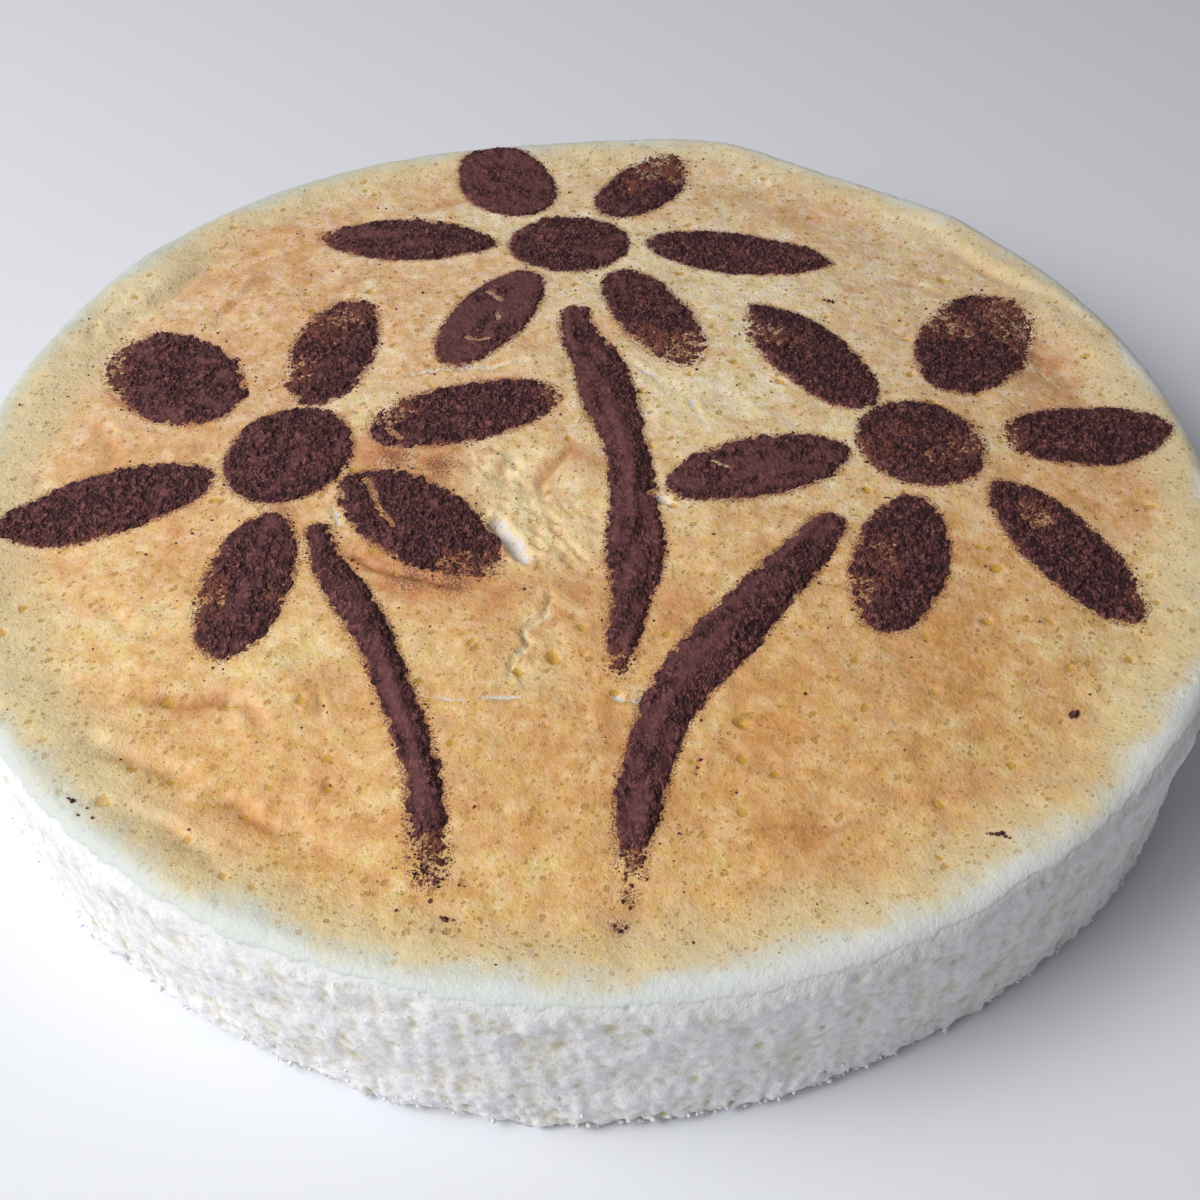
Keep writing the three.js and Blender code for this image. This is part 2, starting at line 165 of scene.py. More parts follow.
# Each daisy: its centre starts with x and y, and each petal with bearing and reach from there.
# Then come length, width, pointing, outer and inner sharpness, fuzz, smear and sparse spots. A
# sparse spot has its place along (-1 inner to 1 outer) and across, its size and how bare it is.
DAISIES = {
    "top": {
        "centre": (-2.2, 75.5, 29.4, 26.4, 0, 1, 1, 0.5, 0.35, []),
        "petals": [
            (354, 41, 45, 18.7, 348.8, 1.5, 0.9, 0.5, 0.2, []),
            (56, 33.8, 35.5, 19.4, 59, 1.1, 0.9, 0.7, 0.3,
             [(0.6, 0.3, 0.4, 0.75), (0.6, -0.5, 0.35, 0.6), (0.05, 0.25, 0.4, 0.35)]),
            (117, 34.2, 35.5, 24, 110, 0.7, 1.1, 0.4, 0.8, []),
            (175, 39.8, 45.4, 19.3, 171.6, 1.8, 1.4, 0.7, 0.3, [(0.92, 0, 0.2, 0.5)]),
            (240.5, 36.1, 41, 18.1, 243.5, 0.9, 1.0, 0.4, 0.95, []),
            (300.7, 37.1, 41.6, 17.4, 292.8, 1.1, 0.9, 0.6, 0.3,
             [(0.7, 0.1, 0.35, 0.85), (0.5, -0.4, 0.35, 0.6), (-0.24, -0.1, 0.3, 0.35)]),
        ],
    },
    "left": {
        "centre": (-60.5, -2.3, 31, 26.6, 77, 1, 1, 0.4, 0.4, []),
        "petals": [
            (17.9, 38.2, 42, 19.9, 15.8, 1.2, 0.8, 0.8, 0.1,
             [(-0.75, 0.5, 0.25, 0.75), (0.92, 0, 0.2, 0.6)]),
            (80.7, 36.2, 40.5, 19.3, 83.3, 0.9, 1.0, 1.2, 0.2,
             [(0.55, 0.05, 0.4, 0.55), (0.2, 0.2, 0.3, 0.3), (-0.37, 0.7, 0.3, 0.5)]),
            (135, 40.3, 41, 26, 131.6, 0.8, 1.1, 1.3, 0.45,
             [(0.75, 0.6, 0.25, 0.7), (0.3, 1.0, 0.25, 0.6), (0.98, 0, 0.2, 0.7)]),
            (198.5, 38.6, 46.2, 19.6, 196, 1.9, 1.0, 0.6, 0.2, []),
            (264, 37.2, 38.3, 18, 261.9, 1.0, 1.0, 0.7, 0.5,
             [(0.2, -0.6, 0.3, 0.55), (0.1, 0.7, 0.25, 0.3)]),
            (322.1, 35.7, 41.7, 20.5, 317.2, 0.9, 1.1, 1.0, 0.3,
             [(0.72, -0.4, 0.25, 0.8), (0.85, 0.1, 0.2, 0.6)]),
        ],
    },
    "right": {
        "centre": (70.8, -0.9, 27.8, 27, 302, 1, 1, 0.5, 0.3,
                   [(-0.3, -0.36, 0.35, 0.35), (0.39, 0.45, 0.3, 0.5), (0.35, -0.1, 0.25, 0.4)]),
        "petals": [
            (7.6, 36.5, 38.3, 19.6, 7.5, 1.3, 1.2, 0.6, 0.0, [(-0.9, 0, 0.22, 0.65)]),
            (63.8, 40.8, 43, 24.5, 61.4, 0.9, 1.1, 0.7, 0.0,
             [(0.5, -0.55, 0.35, 1.0), (0.7, -0.1, 0.25, 0.95), (0.15, 0.55, 0.3, 0.6)]),
            (124, 36.6, 44, 19.5, 119.2, 1.5, 0.9, 0.6, 0.0,
             [(0.4, 0.3, 0.3, 0.5), (0.6, 0.45, 0.25, 0.6)]),
            (193.9, 35.5, 39.9, 17.8, 198, 1.0, 1.0, 0.6, 0.7, []),
            (254.9, 36, 39, 18.4, 250.8, 0.9, 1.1, 0.8, 0.1,
             [(0.5, -0.5, 0.25, 0.5), (0.0, -0.4, 0.3, 0.45)]),
            (308.7, 38.4, 43, 18, 298.5, 0.9, 1.0, 0.5, 0.0,
             [(-0.45, 0.1, 0.22, 0.8), (0.77, 0.55, 0.2, 0.5)]),
        ],
    },
}

# Stems: points along the middle, each with the stem's width there.
STEMS = {
    "top": [
        (-0.9, 43.5, 7), (0, 35.5, 9), (3.2, 28, 10.5), (5, 19.5, 12), (6.4, 10.5, 12.4),
        (8.5, 0.5, 9.5), (10, -10, 9.2), (10.3, -21.5, 10), (10.4, -30, 11.8), (10, -38, 11),
        (8.9, -46, 7.6), (7.4, -54, 6.6), (6.3, -62.5, 5),
    ],
    "left": [
        (-52, -26.5, 5), (-48.9, -35.5, 6.6), (-43.6, -45, 8), (-38.9, -54, 7.4),
        (-35.3, -63.5, 6.6), (-31.8, -73, 7), (-29, -82, 6.6), (-27, -93, 7),
        (-26.1, -104.5, 6.4),
    ],
    "right": [
        (48.4, -26.5, 7.6), (41.6, -36, 9.6), (35.8, -43, 10.4), (30.5, -50, 11.4),
        (25, -56.6, 12), (19.8, -63.6, 11), (15.4, -71, 10), (12.7, -77.5, 9.4), (10.4, -85.5, 9),
        (8.4, -94, 8), (7.2, -104.5, 4.6),
    ],
}

# Where along each stem the powder starts to thin out, and how bare its end is.
STEMS_FADE = {"top": (0.93, 0.5), "left": (0.84, 0.8), "right": (0.92, 0.6)}

# Nicks and gaps in the powder: points along the run and width.
NICKS = [
    ([(-21, 53.6), (-19.6, 52.6), (-18.2, 50.6)], 1.6), ([(-18.7, 45), (-18.4, 42.6)], 1.0),
    ([(-25, 35.4), (-22.8, 34.2), (-20.4, 34.6)], 1.3), ([(14, -17.4), (16.6, -19.4)], 2.4),
    ([(27, -8.2), (29.4, -9.6)], 1.2), ([(-41, 9.4), (-40.2, 4), (-37.6, 1.6)], 1.4),
    ([(-43.6, -11.6), (-42, -16.6)], 1.9), ([(-42, -16.6), (-39.6, -21.6), (-37.4, -25)], 1.1),
]

# How the crust browned: x, y, radius, change of bake (0 is raw and pale, 1 is brown).
BROWNED = [
    (45, -80, 46, 0.22), (5, -85, 30, 0.12), (-30, -30, 18, 0.22), (-12, -45, 14, 0.12),
    (25, 18, 22, -0.22), (-8, -16, 14, -0.20), (-68, -82, 26, 0.12), (62, 20, 20, -0.16),
    (18, 68, 20, -0.26), (-20, 80, 14, -0.18), (-20, 42, 13, -0.22), (16, 2, 10, -0.06),
    (-30, -2, 15, 0.10), (-20, 19, 11, 0.22), (-80, 78, 18, 0.14), (-98, 38, 18, 0.04),
    (-60, 38, 13, 0.12), (70, -30, 20, 0.04), (90, -50, 24, 0.04), (97, -3, 18, 0.18),
    (-60, 52, 22, 0.08), (0, 108, 26, -0.04), (38, 46, 16, -0.12), (-38, 60, 16, 0.06),
    (60, 95, 24, 0.02), (-80, 20, 18, 0.05), (-84, -26, 20, 0.08), (-40, -100, 24, 0.15),
    (45, 62, 18, -0.08), (120, -10, 16, 0.10), (-54, -18, 13, 0.15), (-100, 8, 19, 0.14),
    (0, -24, 10, 0.06),
]

# Reddish, scorched patches: x, y, radius, strength.
SCORCHED = [
    (107, 28, 8, 0.9), (-40, -3, 7, 1.2), (-32, -6, 8, 1.3), (-24, -11, 5, 1.0), (-40, -34, 6, 1.1),
    (-33, -39, 7, 1.4), (-25, -42, 7, 1.4), (-18, -44, 5, 1.1), (0, -47, 8, 0.8), (17, -48, 7, 0.6),
    (-6, -10, 4, 1.0), (-7, -15, 4, 0.9), (-4, -78, 8, 0.5), (-70, -67, 7, 0.6), (-44, -68, 6, 0.4),
    (66, -87, 5, 0.6), (38, -97, 9, 0.35), (30, -80, 9, 0.35), (54, -66, 10, 0.3), (-3, -6, 6, 0.8),
    (-2, -17, 4, 0.6), (-92, 38, 8, 0.4), (-70, 14, 8, 0.4), (-50, 66, 9, 0.35), (88, -72, 4, 0.7),
    (-100, 16, 10, 0.5), (-20, 18, 7, 0.9), (-60, -20, 6, 0.9), (-20, -16, 7, 0.6),
    (60, 100, 10, 0.35), (20, -96, 6, 0.4), (76, -50, 6, 0.35), (5, -114, 5, 0.5),
    (-90, 62, 8, 0.35), (-22, -94, 10, 0.25), (-58, -92, 4, 0.6), (-44, -87, 4, 0.6),
    (10, -60, 6, 0.3),
]

# Where the crust tore off and pale crumb shows: x, y, radius, strength.
BARED = [
    (-15, -9, 8, 1.0), (-15, -22, 8, 1.0), (-6, -30, 9, 0.8), (-24, 26.5, 3.5, 0.8),
    (-13, 26, 3.5, 0.8), (18, 20, 6, 0.5), (-48, -22, 3, 0.6), (-46, -14, 3, 0.5),
    (16, -19, 3, 0.9), (-8, -64, 4, 0.5), (11, -70, 3, 0.6), (22, 6, 6, 0.4), (0, -32, 6, 0.5),
]

# Reddish stains of cocoa dust on the crust: x, y, radius, strength.
STAINED = [
    (6.5, -109.5, 2.6, 1.0), (5.0, -115.5, 2.4, 1.0), (-25.8, -106, 3.2, 0.9), (-33, -39.5, 6, 1.0),
    (-38, -5, 6, 1.0), (-25, -41.5, 5, 1.0), (-29, -8, 5, 1.0), (87.4, -72.6, 1.4, 0.8),
    (62, 34, 3, 0.6), (-56, 30, 4, 0.5), (-22, 17, 5, 0.5), (-60, -20, 5, 0.8),
]

# Crumbs of cocoa and burnt flecks that lie by themselves: x, y, radius.
DARK_CRUMBS = [
    (87.4, -72.6, 0.8), (88.2, -71.8, 0.5), (86.8, -73.2, 0.4), (57.4, 50, 0.6), (58.4, 49.6, 0.5),
    (56.3, 50.3, 0.4), (68.3, -99.1, 0.65), (67.5, -98.9, 0.5), (69.2, -98.8, 0.6),
    (69.8, -99.6, 0.45), (66.9, -98.6, 0.3), (70.4, -99.9, 0.3), (-25.6, -110, 0.55),
    (-23, -113.7, 0.6), (-23.6, -113.2, 0.4), (-24.8, -106.4, 0.4), (-21, -107, 0.3),
    (-87.5, -89, 0.5), (-88.3, -88.4, 0.4), (-84.7, -90.6, 0.3), (-83.4, -92.7, 0.35),
    (-86, -92, 0.25), (5.1, -116.1, 0.5), (6.0, -115.6, 0.4), (4.2, -115.2, 0.4),
    (6.8, -111.7, 0.45), (7.4, -110.6, 0.35), (5.6, -110.4, 0.4), (6.3, -108.8, 0.45),
    (7.2, -107.6, 0.4), (19.8, -83, 0.4), (19.2, -84.6, 0.45), (18.9, -86, 0.35), (-44, -86.3, 0.4),
    (60, -60, 0.25), (45, -112, 0.25), (-112, 22, 0.3),
]


# ---- Noise and small helpers -----------------------------------------------------------------


def srgb(red, green, blue):
    """A colour seen on a screen, 0 to 255, as the linear value that Blender works with."""
    seen = np.array((red, green, blue)) / 255
    linear = np.where(seen <= 0.04045, seen / 12.92, ((seen + 0.055) / 1.055) ** 2.4)
    return tuple(float(c) for c in linear)


def blend_step(value, low, high):
    share = np.clip((value - low) / (high - low), 0, 1)
    return share * share * (3 - 2 * share)


def scramble(i, j, k, seed):
    """A fixed random number from 0 to 1 for each lattice point."""
    bits = (i * 73856093) ^ (j * 19349663) ^ (k * 83492791) ^ (seed * 2654435761)
    bits &= 0xFFFFFFFF
    for _ in range(2):
        bits = ((bits ^ (bits >> 16)) * 0x45D9F3B) & 0xFFFFFFFF
    return (bits ^ (bits >> 16)) / 0xFFFFFFFF


def noise(points, size, seed):
    """Smooth noise from -1 to 1 at points of shape (n, 3), with features of about size.

    Each use has a seed of its own, so that no two patterns are alike.
    """
    scaled = points / size
    corner = np.floor(scaled).astype(np.int64)
    part = scaled - corner
    part = part * part * (3 - 2 * part)
    total = np.zeros(len(points))
    for steps in product((0, 1), repeat=3):
        weight = np.ones(len(points))
        for axis, step in enumerate(steps):
            weight *= part[:, axis] if step else 1 - part[:, axis]
        total += weight * scramble(*(corner + steps).T, seed)
    return 2 * total - 1


def layered(points, size, seed, layers):
    """Noise with finer and weaker layers on top."""
    return sum(noise(points, size / 2.1**k, seed + 7 * k) * 0.55**k for k in range(layers))


def mixed(points, parts, start=0.0):
    """Several noises added up, each given by its strength, size and seed."""
    return sum((strength * noise(points, size, seed) for strength, size, seed in parts), start)


def bell(x, y, px, py, radius):
    """1 at a place, and softly less round it."""
    return np.exp(-((x - px) ** 2 + (y - py) ** 2) / radius**2)


def taper(along):
    """Width along a run from 0 to 1, which narrows to both ends."""
    return np.sqrt(np.clip(np.sin(np.pi * np.clip(along, 0.03, 0.97)), 0, 1))


def flat_points(x, y, z=0.0):
    return np.stack([x, y, np.full_like(x, z)], -1)


def on_circle(radius, turn):
    return radius * np.cos(turn), radius * np.sin(turn)


def scattered_spots(u, v, cell, seed, share, around=0):
    """Distance from each point to the nearest scattered spot, and that spot's own random size.

    There is one spot or none in each cell; share is the part of the cells that have one, and
    around is the number of cells after which u comes back to its start.
    """
    iu, iv = np.floor(u / cell).astype(np.int64), np.floor(v / cell).astype(np.int64)
    nearest, size = np.full(u.shape, 1e3), np.zeros(u.shape)
    for du in (-1, 0, 1):
        for dv in (-1, 0, 1):
            cu, cv = iu + du, iv + dv
            ku = cu % around if around else cu
            pu = (cu + scramble(ku, cv, cv * 0, seed)) * cell
            pv = (cv + scramble(ku, cv, cv * 0 + 1, seed)) * cell
            there = scramble(ku, cv, cv * 0 + 2, seed) < share
            away = np.where(there, np.hypot(u - pu, v - pv), 1e3)
            size = np.where(away < nearest, scramble(ku, cv, cv * 0 + 3, seed), size)
            nearest = np.minimum(nearest, away)
    return nearest, size


def smooth_route(points, steps):
    """A Catmull-Rom curve through points, as an array."""
    knots = np.array([2 * points[0] - points[1], *points, 2 * points[-1] - points[-2]])
    route = []
    for k in range(1, len(knots) - 2):
        before, start, end, after = knots[k - 1 : k + 3]
        bend = 2 * before - 5 * start + 4 * end - after
        twist = 3 * start - before - 3 * end + after
        for t in np.arange(steps) / steps:
            route.append(0.5 * (2 * start + (end - before) * t + bend * t**2 + twist * t**3))
    return np.array([*route, knots[-2]])


def nearest_on_route(route, x, y):
    """Distance to a route, the share of its length there and which side the point is on."""
    best, along, side = np.full(x.shape, 1e3), np.zeros(x.shape), np.zeros(x.shape)
    for k in range(len(route) - 1):
        (ax, ay), (bx, by) = route[k, :2], route[k + 1, :2]
        run = (bx - ax) ** 2 + (by - ay) ** 2
        share = np.clip(((x - ax) * (bx - ax) + (y - ay) * (by - ay)) / run, 0, 1)
        away = np.hypot(x - ax - share * (bx - ax), y - ay - share * (by - ay))
        turned = (bx - ax) * (y - ay) - (by - ay) * (x - ax)
        nearer = away < best
        along = np.where(nearer, (k + share) / (len(route) - 1), along)
        side = np.where(nearer, np.sign(turned), side)
        best = np.where(nearer, away, best)
    return best, along, side


def patches_at(patches, x, y):
    """The strongest of some round patches (x, y, radius, strength) at each point."""
    value = np.zeros(x.shape)
    for px, py, radius, strength in patches:
        value = np.maximum(value, strength * bell(x, y, px, py, radius))
    return value


# ---- The cake's surface ----------------------------------------------------------------------


class Surface:
    """The cake's outer form in millimetres, worked out from the sizes in the panel."""

    def __init__(self, sizes):
        self.radius = sizes.radius / MM
        self.lip = sizes.lip_height / MM
        self.groove = sizes.groove_height / MM
        self.dome = sizes.dome_rise / MM
        self.shoulder = sizes.shoulder / MM

    def outline(self, angle):
        radius = np.full(np.shape(angle), self.radius)
        for at, spread, out in OUTLINE_BUMPS:
            off = (np.degrees(angle) - at + 180) % 360 - 180
            radius = radius + out * np.exp(-0.5 * (off / spread) ** 2)
        return radius

    def reach(self, x, y):
        """How far out a point is, as a share of the outline."""
        return np.hypot(x, y) / self.outline(np.arctan2(y, x))

    def crust(self, x, y):
        """Height of the crust with its dome, groove, lip, swells and folds.

        The groove and the folds are a little shallower than in the frame's solids.
        """
        reach = self.reach(x, y)
        dome = self.groove + self.dome * (1 - (reach / GROOVE_REACH) ** 2)
        lip = blend_step(reach, LIP_START, LIP_END)
        height = dome + (self.lip - dome) * lip
        for sx, sy, radius, rise in SWELLS:
            height = height + rise * bell(x, y, sx, sy, radius)
        wave = 0.8 * noise(flat_points(x, y), 7, 31)
        for start, end, width, depth in FOLDS:
            away, _, _ = nearest_on_route(np.array([start, end], float), x + wave, y + wave)
            height = height - depth * np.exp(-((away / (0.8 * width)) ** 2))
        return height

    def tears(self, x, y):
        """Depth of the tears, their curled edges, how open they are and how white inside."""
        points = flat_points(x, y)
        ragged = mixed(points, ((0.9, 2.0, 41), (0.7, 0.9, 42)))
        depth, curl, bare, white = (np.zeros(x.shape) for _ in range(4))
        for path, width, deep, pale in TEARS:
            away, along, _ = nearest_on_route(smooth_route(np.array(path, float), 5), x, y)
            half = 0.5 * width * taper(along)
            inside = half + ragged * min(0.9, 0.3 + 0.15 * width) - away
            depth = np.maximum(depth, deep * blend_step(inside, -0.4, 0.8))
            lifted = np.exp(-(((inside + 0.9) / 0.6) ** 2))
            curl = np.maximum(curl, min(0.25, 0.07 * width) * lifted)
            opened = np.clip(0.5 + inside / 1.8, 0, 1)
            white = np.where(opened > np.maximum(bare, 0.1), pale, white)
            bare = np.maximum(bare, opened)
        return depth, curl * (1 + 0.8 * noise(points, 1.4, 43)), bare, white

    def creases(self, x, y):
        """Depth of the skin's creases and how brown they are."""
        points = flat_points(x, y)
        wave_x, wave_y = 1.1 * noise(points, 5, 44), 1.1 * noise(points, 5, 45)
        depth, brown = np.zeros(x.shape), np.zeros(x.shape)
        for path, width, deep, tone in CREASES:
            route = smooth_route(np.array(path, float), 4)
            away, along, side = nearest_on_route(route, x + wave_x, y + wave_y)
            valley = np.exp(-((away / (0.55 * width)) ** 2)) * taper(along)
            bank = np.exp(-(((away - 1.3 * width) / (0.8 * width)) ** 2)) * taper(along)
            depth = depth + deep * (valley - 0.45 * bank * (side > 0))
            brown = np.maximum(brown, tone * valley * (1 + 0.5 * noise(points, 3, 46)))
        return depth, brown

    def pores(self, x, y):
        """Depth of the open pores, and a field from 1 in their middles to 0 round them."""
        points = flat_points(x, y)
        px, py = x + 0.6 * noise(points, 1.5, 53), y + 0.6 * noise(points, 1.5, 54)
        wide, size = scattered_spots(px, py, 8.0, 51, 0.4)
        radius = 0.4 + 0.5 * size**2
        field = 1 - wide / (2.2 * radius)
        dip = 0.55 * blend_step(-wide, -1.3 * radius, -0.3 * radius)
        for bx, by, radius in BUBBLES:
            away = np.hypot(px - bx, py - by)
            field = np.maximum(field, 1 - away / (2.2 * radius))
            sunk = blend_step(-away, -1.4 * radius, -0.3 * radius)
            dip = np.maximum(dip, 0.9 * radius**0.5 * sunk)
        return dip, np.clip(field, 0, 1)

    def foam(self, x, y):
        """Relief of the streaky foam where the skin tore away, and how much of it there is."""
        points = flat_points(x, y)
        share = patches_at(STREAKY, x, y) * blend_step(layered(points, 6, 55, 2), -0.9, 0.1)
        turn = math.radians(FOAM_RUN)
        along = x * math.cos(turn) + y * math.sin(turn)
        across = y * math.cos(turn) - x * math.sin(turn)
        streak = np.stack([along / 5.5, across / 1.7, along * 0], -1)
        ridges = 1 - 2 * np.abs(noise(streak, 1, 57) + 0.3 * noise(points, 1.2, 59))
        return share * (0.55 * ridges - 0.6 + 0.35 * noise(points, 1.0, 58)), share

    def brink(self, angle):
        """How far up the rounded shoulder the skin tore off the side, as an angle."""
        rim = flat_points(*on_circle(self.radius, angle))
        return np.radians(mixed(rim, ((5, 9, 91), (5, 2.6, 92), (4, 1.1, 93)), TORN_AT))

    def rounded(self, angle, bend, inset, drop):
        """A point of the shoulder for each angle, bend radians up from the side."""
        radius = self.outline(angle) - self.shoulder * (1 - np.cos(bend)) + SIDE_FLARE
        level = self.dressed(*on_circle(radius, angle)) - self.shoulder * (1 - np.sin(bend)) - drop
        return np.column_stack([*on_circle(radius - inset, angle), level])

    def dressed(self, x, y):
        """Height of the crust with its fine relief."""
        points = flat_points(x, y)
        relief = mixed(points, RELIEF)
        calm = 1 - 0.55 * blend_step(self.reach(x, y), 0.9, 1.0)
        tear, curl, _, _ = self.tears(x, y)
        crease, pore, foam = self.creases(x, y)[0], self.pores(x, y)[0], self.foam(x, y)[0]
        return self.crust(x, y) + relief * calm - tear + curl - crease - pore + foam


# ---- Cocoa patches ---------------------------------------------------------------------------


class Petal:
    """An oval or pointed patch of cocoa."""

    def __init__(self, name, x, y, length, width, pointing, outer, inner, fuzz, smear, sparse):
        self.name, self.fuzz, self.smear, self.sparse = name, fuzz, smear, sparse
        self.x, self.y, self.length, self.width = x, y, length, width
        self.outer, self.inner = outer, inner
        self.ahead = np.array([math.cos(math.radians(pointing)), math.sin(math.radians(pointing))])
        self.depth = PETAL_DEPTH
        reach = 0.5 * max(length, width) + 3
        self.box = (x - reach, y - reach, x + reach, y + reach)

    def local(self, x, y):
        """Where a point is along and across the petal, both -1 to 1."""
        dx, dy = x - self.x, y - self.y
        along = (dx * self.ahead[0] + dy * self.ahead[1]) / (self.length / 2)
        across = (dy * self.ahead[0] - dx * self.ahead[1]) / (self.width / 2)
        return along, across

    def margin(self, x, y):
        """About how many millimetres a point is inside the edge."""
        along, across = self.local(x, y)
        bounded = np.clip(along, -1, 1)
        sharp = 1 + np.where(along > 0, (self.outer - 1) * bounded, (1 - self.inner) * bounded)
        level = along**2 + np.abs(across) ** (2 / sharp)
        slope_along = 4 * np.abs(along) / self.length
        slope_across = (4 / sharp) * np.abs(across) ** np.maximum(2 / sharp - 1, 0) / self.width
        steep = np.hypot(slope_along, slope_across)
        return (1 - level) / np.maximum(steep, 2 / self.width)

    def bareness(self, x, y):
        along, across = self.local(x, y)
        bare = np.zeros(x.shape)
        for at, off, size, strength in self.sparse:
            away = (along - at) ** 2 + (0.6 * (across - off)) ** 2
            bare = np.maximum(bare, strength * np.exp(-away / size**2))
        return bare

    def smears(self, x, y):
        """Where the powder was pressed smooth, in streaks along the petal."""
        along, across = self.local(x, y)
        streak = np.stack(
            [along * self.length / 8, across * self.width / 5, along * 0 + self.x], -1
        )
        return blend_step(layered(streak, 1, 71, 2) + 1.6 * self.smear - 1.0, -0.5, 0.6)

    def ridges(self, x, y):
        return np.zeros(x.shape)


class Stem:
    """A long patch of cocoa that follows a route."""

    def __init__(self, name, points, fade):
        self.name, self.fuzz, self.fade = name, 0.8, fade
        self.route = smooth_route(np.array(points, float), 4)
        self.depth = STEM_DEPTH
        low, high = self.route[:, :2].min(0) - 9, self.route[:, :2].max(0) + 9
        self.box = (*low, *high)

    def margin(self, x, y):
        away, along, _ = nearest_on_route(self.route, x, y)
        width = np.interp(along, np.linspace(0, 1, len(self.route)), self.route[:, 2])
        return width / 2 - away

    def bareness(self, x, y):
        _, along, _ = nearest_on_route(self.route, x, y)
        start, strength = self.fade
        return strength * blend_step(along, start, 1.0)

    def smears(self, x, y):
        away, along, side = nearest_on_route(self.route, x, y)
        streak = np.stack(
            [along * len(self.route) / 4, side * away / 3.0, along * 0 + self.depth], -1
        )
        return blend_step(layered(streak, 1, 72, 2) + 0.1, -0.5, 0.6)

    def ridges(self, x, y):
        """Two long ridges where the powder was pushed up by the stencil's edges."""
        away, along, side = nearest_on_route(self.route, x, y)
        streak = np.stack([along * 5, side * away / 1.8, along * 0 + 3.0], -1)
        return 0.35 * noise(streak, 1, 73)


def cocoa_patches():
    """All the cocoa patches, named after the frame's nodes."""
    patches = []
    for daisy, parts in DAISIES.items():
        x, y = parts["centre"][:2]
        patches.append(Petal(f"{daisy}_centre", *parts["centre"]))
        for number, (bearing, reach, *rest) in enumerate(parts["petals"], 1):
            off_x, off_y = on_circle(reach, math.radians(bearing))
            patches.append(Petal(f"{daisy}_petal_{number}", x + off_x, y + off_y, *rest))
        patches.append(Stem(f"{daisy}_stem", STEMS[daisy], STEMS_FADE[daisy]))
    return patches


def powder_depth(patch, x, y):
    """Depth of the powder above the crust (negative: none), its smears, heaps and thin spots."""
    points = flat_points(x, y)
    ragged = patch.fuzz * mixed(points, ((0.75, 1.9, 81), (0.6, 0.9, 82)))
    edge = patch.margin(x, y) + ragged - 0.25
    bare = patch.bareness(x, y)
    smear = patch.smears(x, y) * (1 - bare) * blend_step(edge, 0.2, 1.6)
    grains, size = scattered_spots(x, y, 1.0, 83, 0.9)
    clods, clod_size = scattered_spots(x, y, 2.2, 87, 0.55)
    lumps = (0.25 + 0.35 * size) * (1 - blend_step(grains, 0.1, 0.75))
    lumps += 0.65 * clod_size * (1 - blend_step(clods, 0.2, 0.55 + 0.7 * clod_size))
    depth = patch.depth * np.tanh(edge / 1.3) * (0.8 + patch.ridges(x, y))
    heaped = (1 - 0.7 * smear) * (lumps - 0.22) * blend_step(edge, -0.5, 0.5)
    depth += heaped + 0.14 * noise(points, 2.4, 84)
    depth -= bare * mixed(points, ((0.9, 1.3, 85), (0.7, 0.7, 86)), 1.35 * patch.depth)
    for path, width in NICKS:
        away, _, _ = nearest_on_route(np.array(path, float), x, y)
        depth -= 1.6 * blend_step(0.5 * width - away + 0.35 * noise(points, 1.1, 88), -0.3, 0.3)
    thin = 1.2 * bare + 0.35 * noise(points, 5.0, 89) + 0.8 * blend_step(-depth, -0.4, 0.05)
    thin = np.clip(thin, 0, 1)
    return depth, smear, np.clip(lumps / 0.65, 0, 1), thin


# ---- Meshes ----------------------------------------------------------------------------------


def ring_faces(rings):
    """Triangles that join each ring of points to the next, whatever their counts."""
    counts = [len(ring) for ring in rings]
    faces, first = [], 0
    for lower, upper in zip(counts, counts[1:]):
        second = first + lower
        i = j = 0
        while i < (lower if lower > 1 else 0) or j < (upper if upper > 1 else 0):
            if upper == 1 or (lower > 1 and i < lower and (i + 1) * upper <= (j + 1) * lower):
                faces.append((first + i % lower, first + (i + 1) % lower, second + j % upper))
                i += 1
            else:
                faces.append((first + i % lower, second + (j + 1) % upper, second + j % upper))
                j += 1
        first = second
    return faces


def angles(count):
    return 2 * math.pi * np.arange(count) / count


def hidden_ring(surface, share, level):
    """A plain ring inside the cake or under it, which only closes a mesh."""
    return flat_points(*on_circle(share * surface.radius, angles(int(60 * share) + 6)), level)


def make_piece(name, points, faces, material, replaced=(), values=None, smooth=True):
    """A mesh object from points in millimetres, with named values on its vertices."""
    mesh = bpy.data.meshes.new(name)
    mesh.from_pydata(np.asarray(points) * MM, [], faces)
    for label, array in (values or {}).items():
        attribute = mesh.attributes.new(label, "FLOAT", "POINT")
        attribute.data.foreach_set("value", np.asarray(array, np.float32))
    mesh.polygons.foreach_set("use_smooth", np.full(len(mesh.polygons), smooth))
    mesh.materials.append(material)
    mesh.update()
    piece = bpy.data.objects.new(name, mesh)
    bpy.context.scene.collection.objects.link(piece)
    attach(piece, "root")
    if replaced:
        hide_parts(*replaced)
    return piece


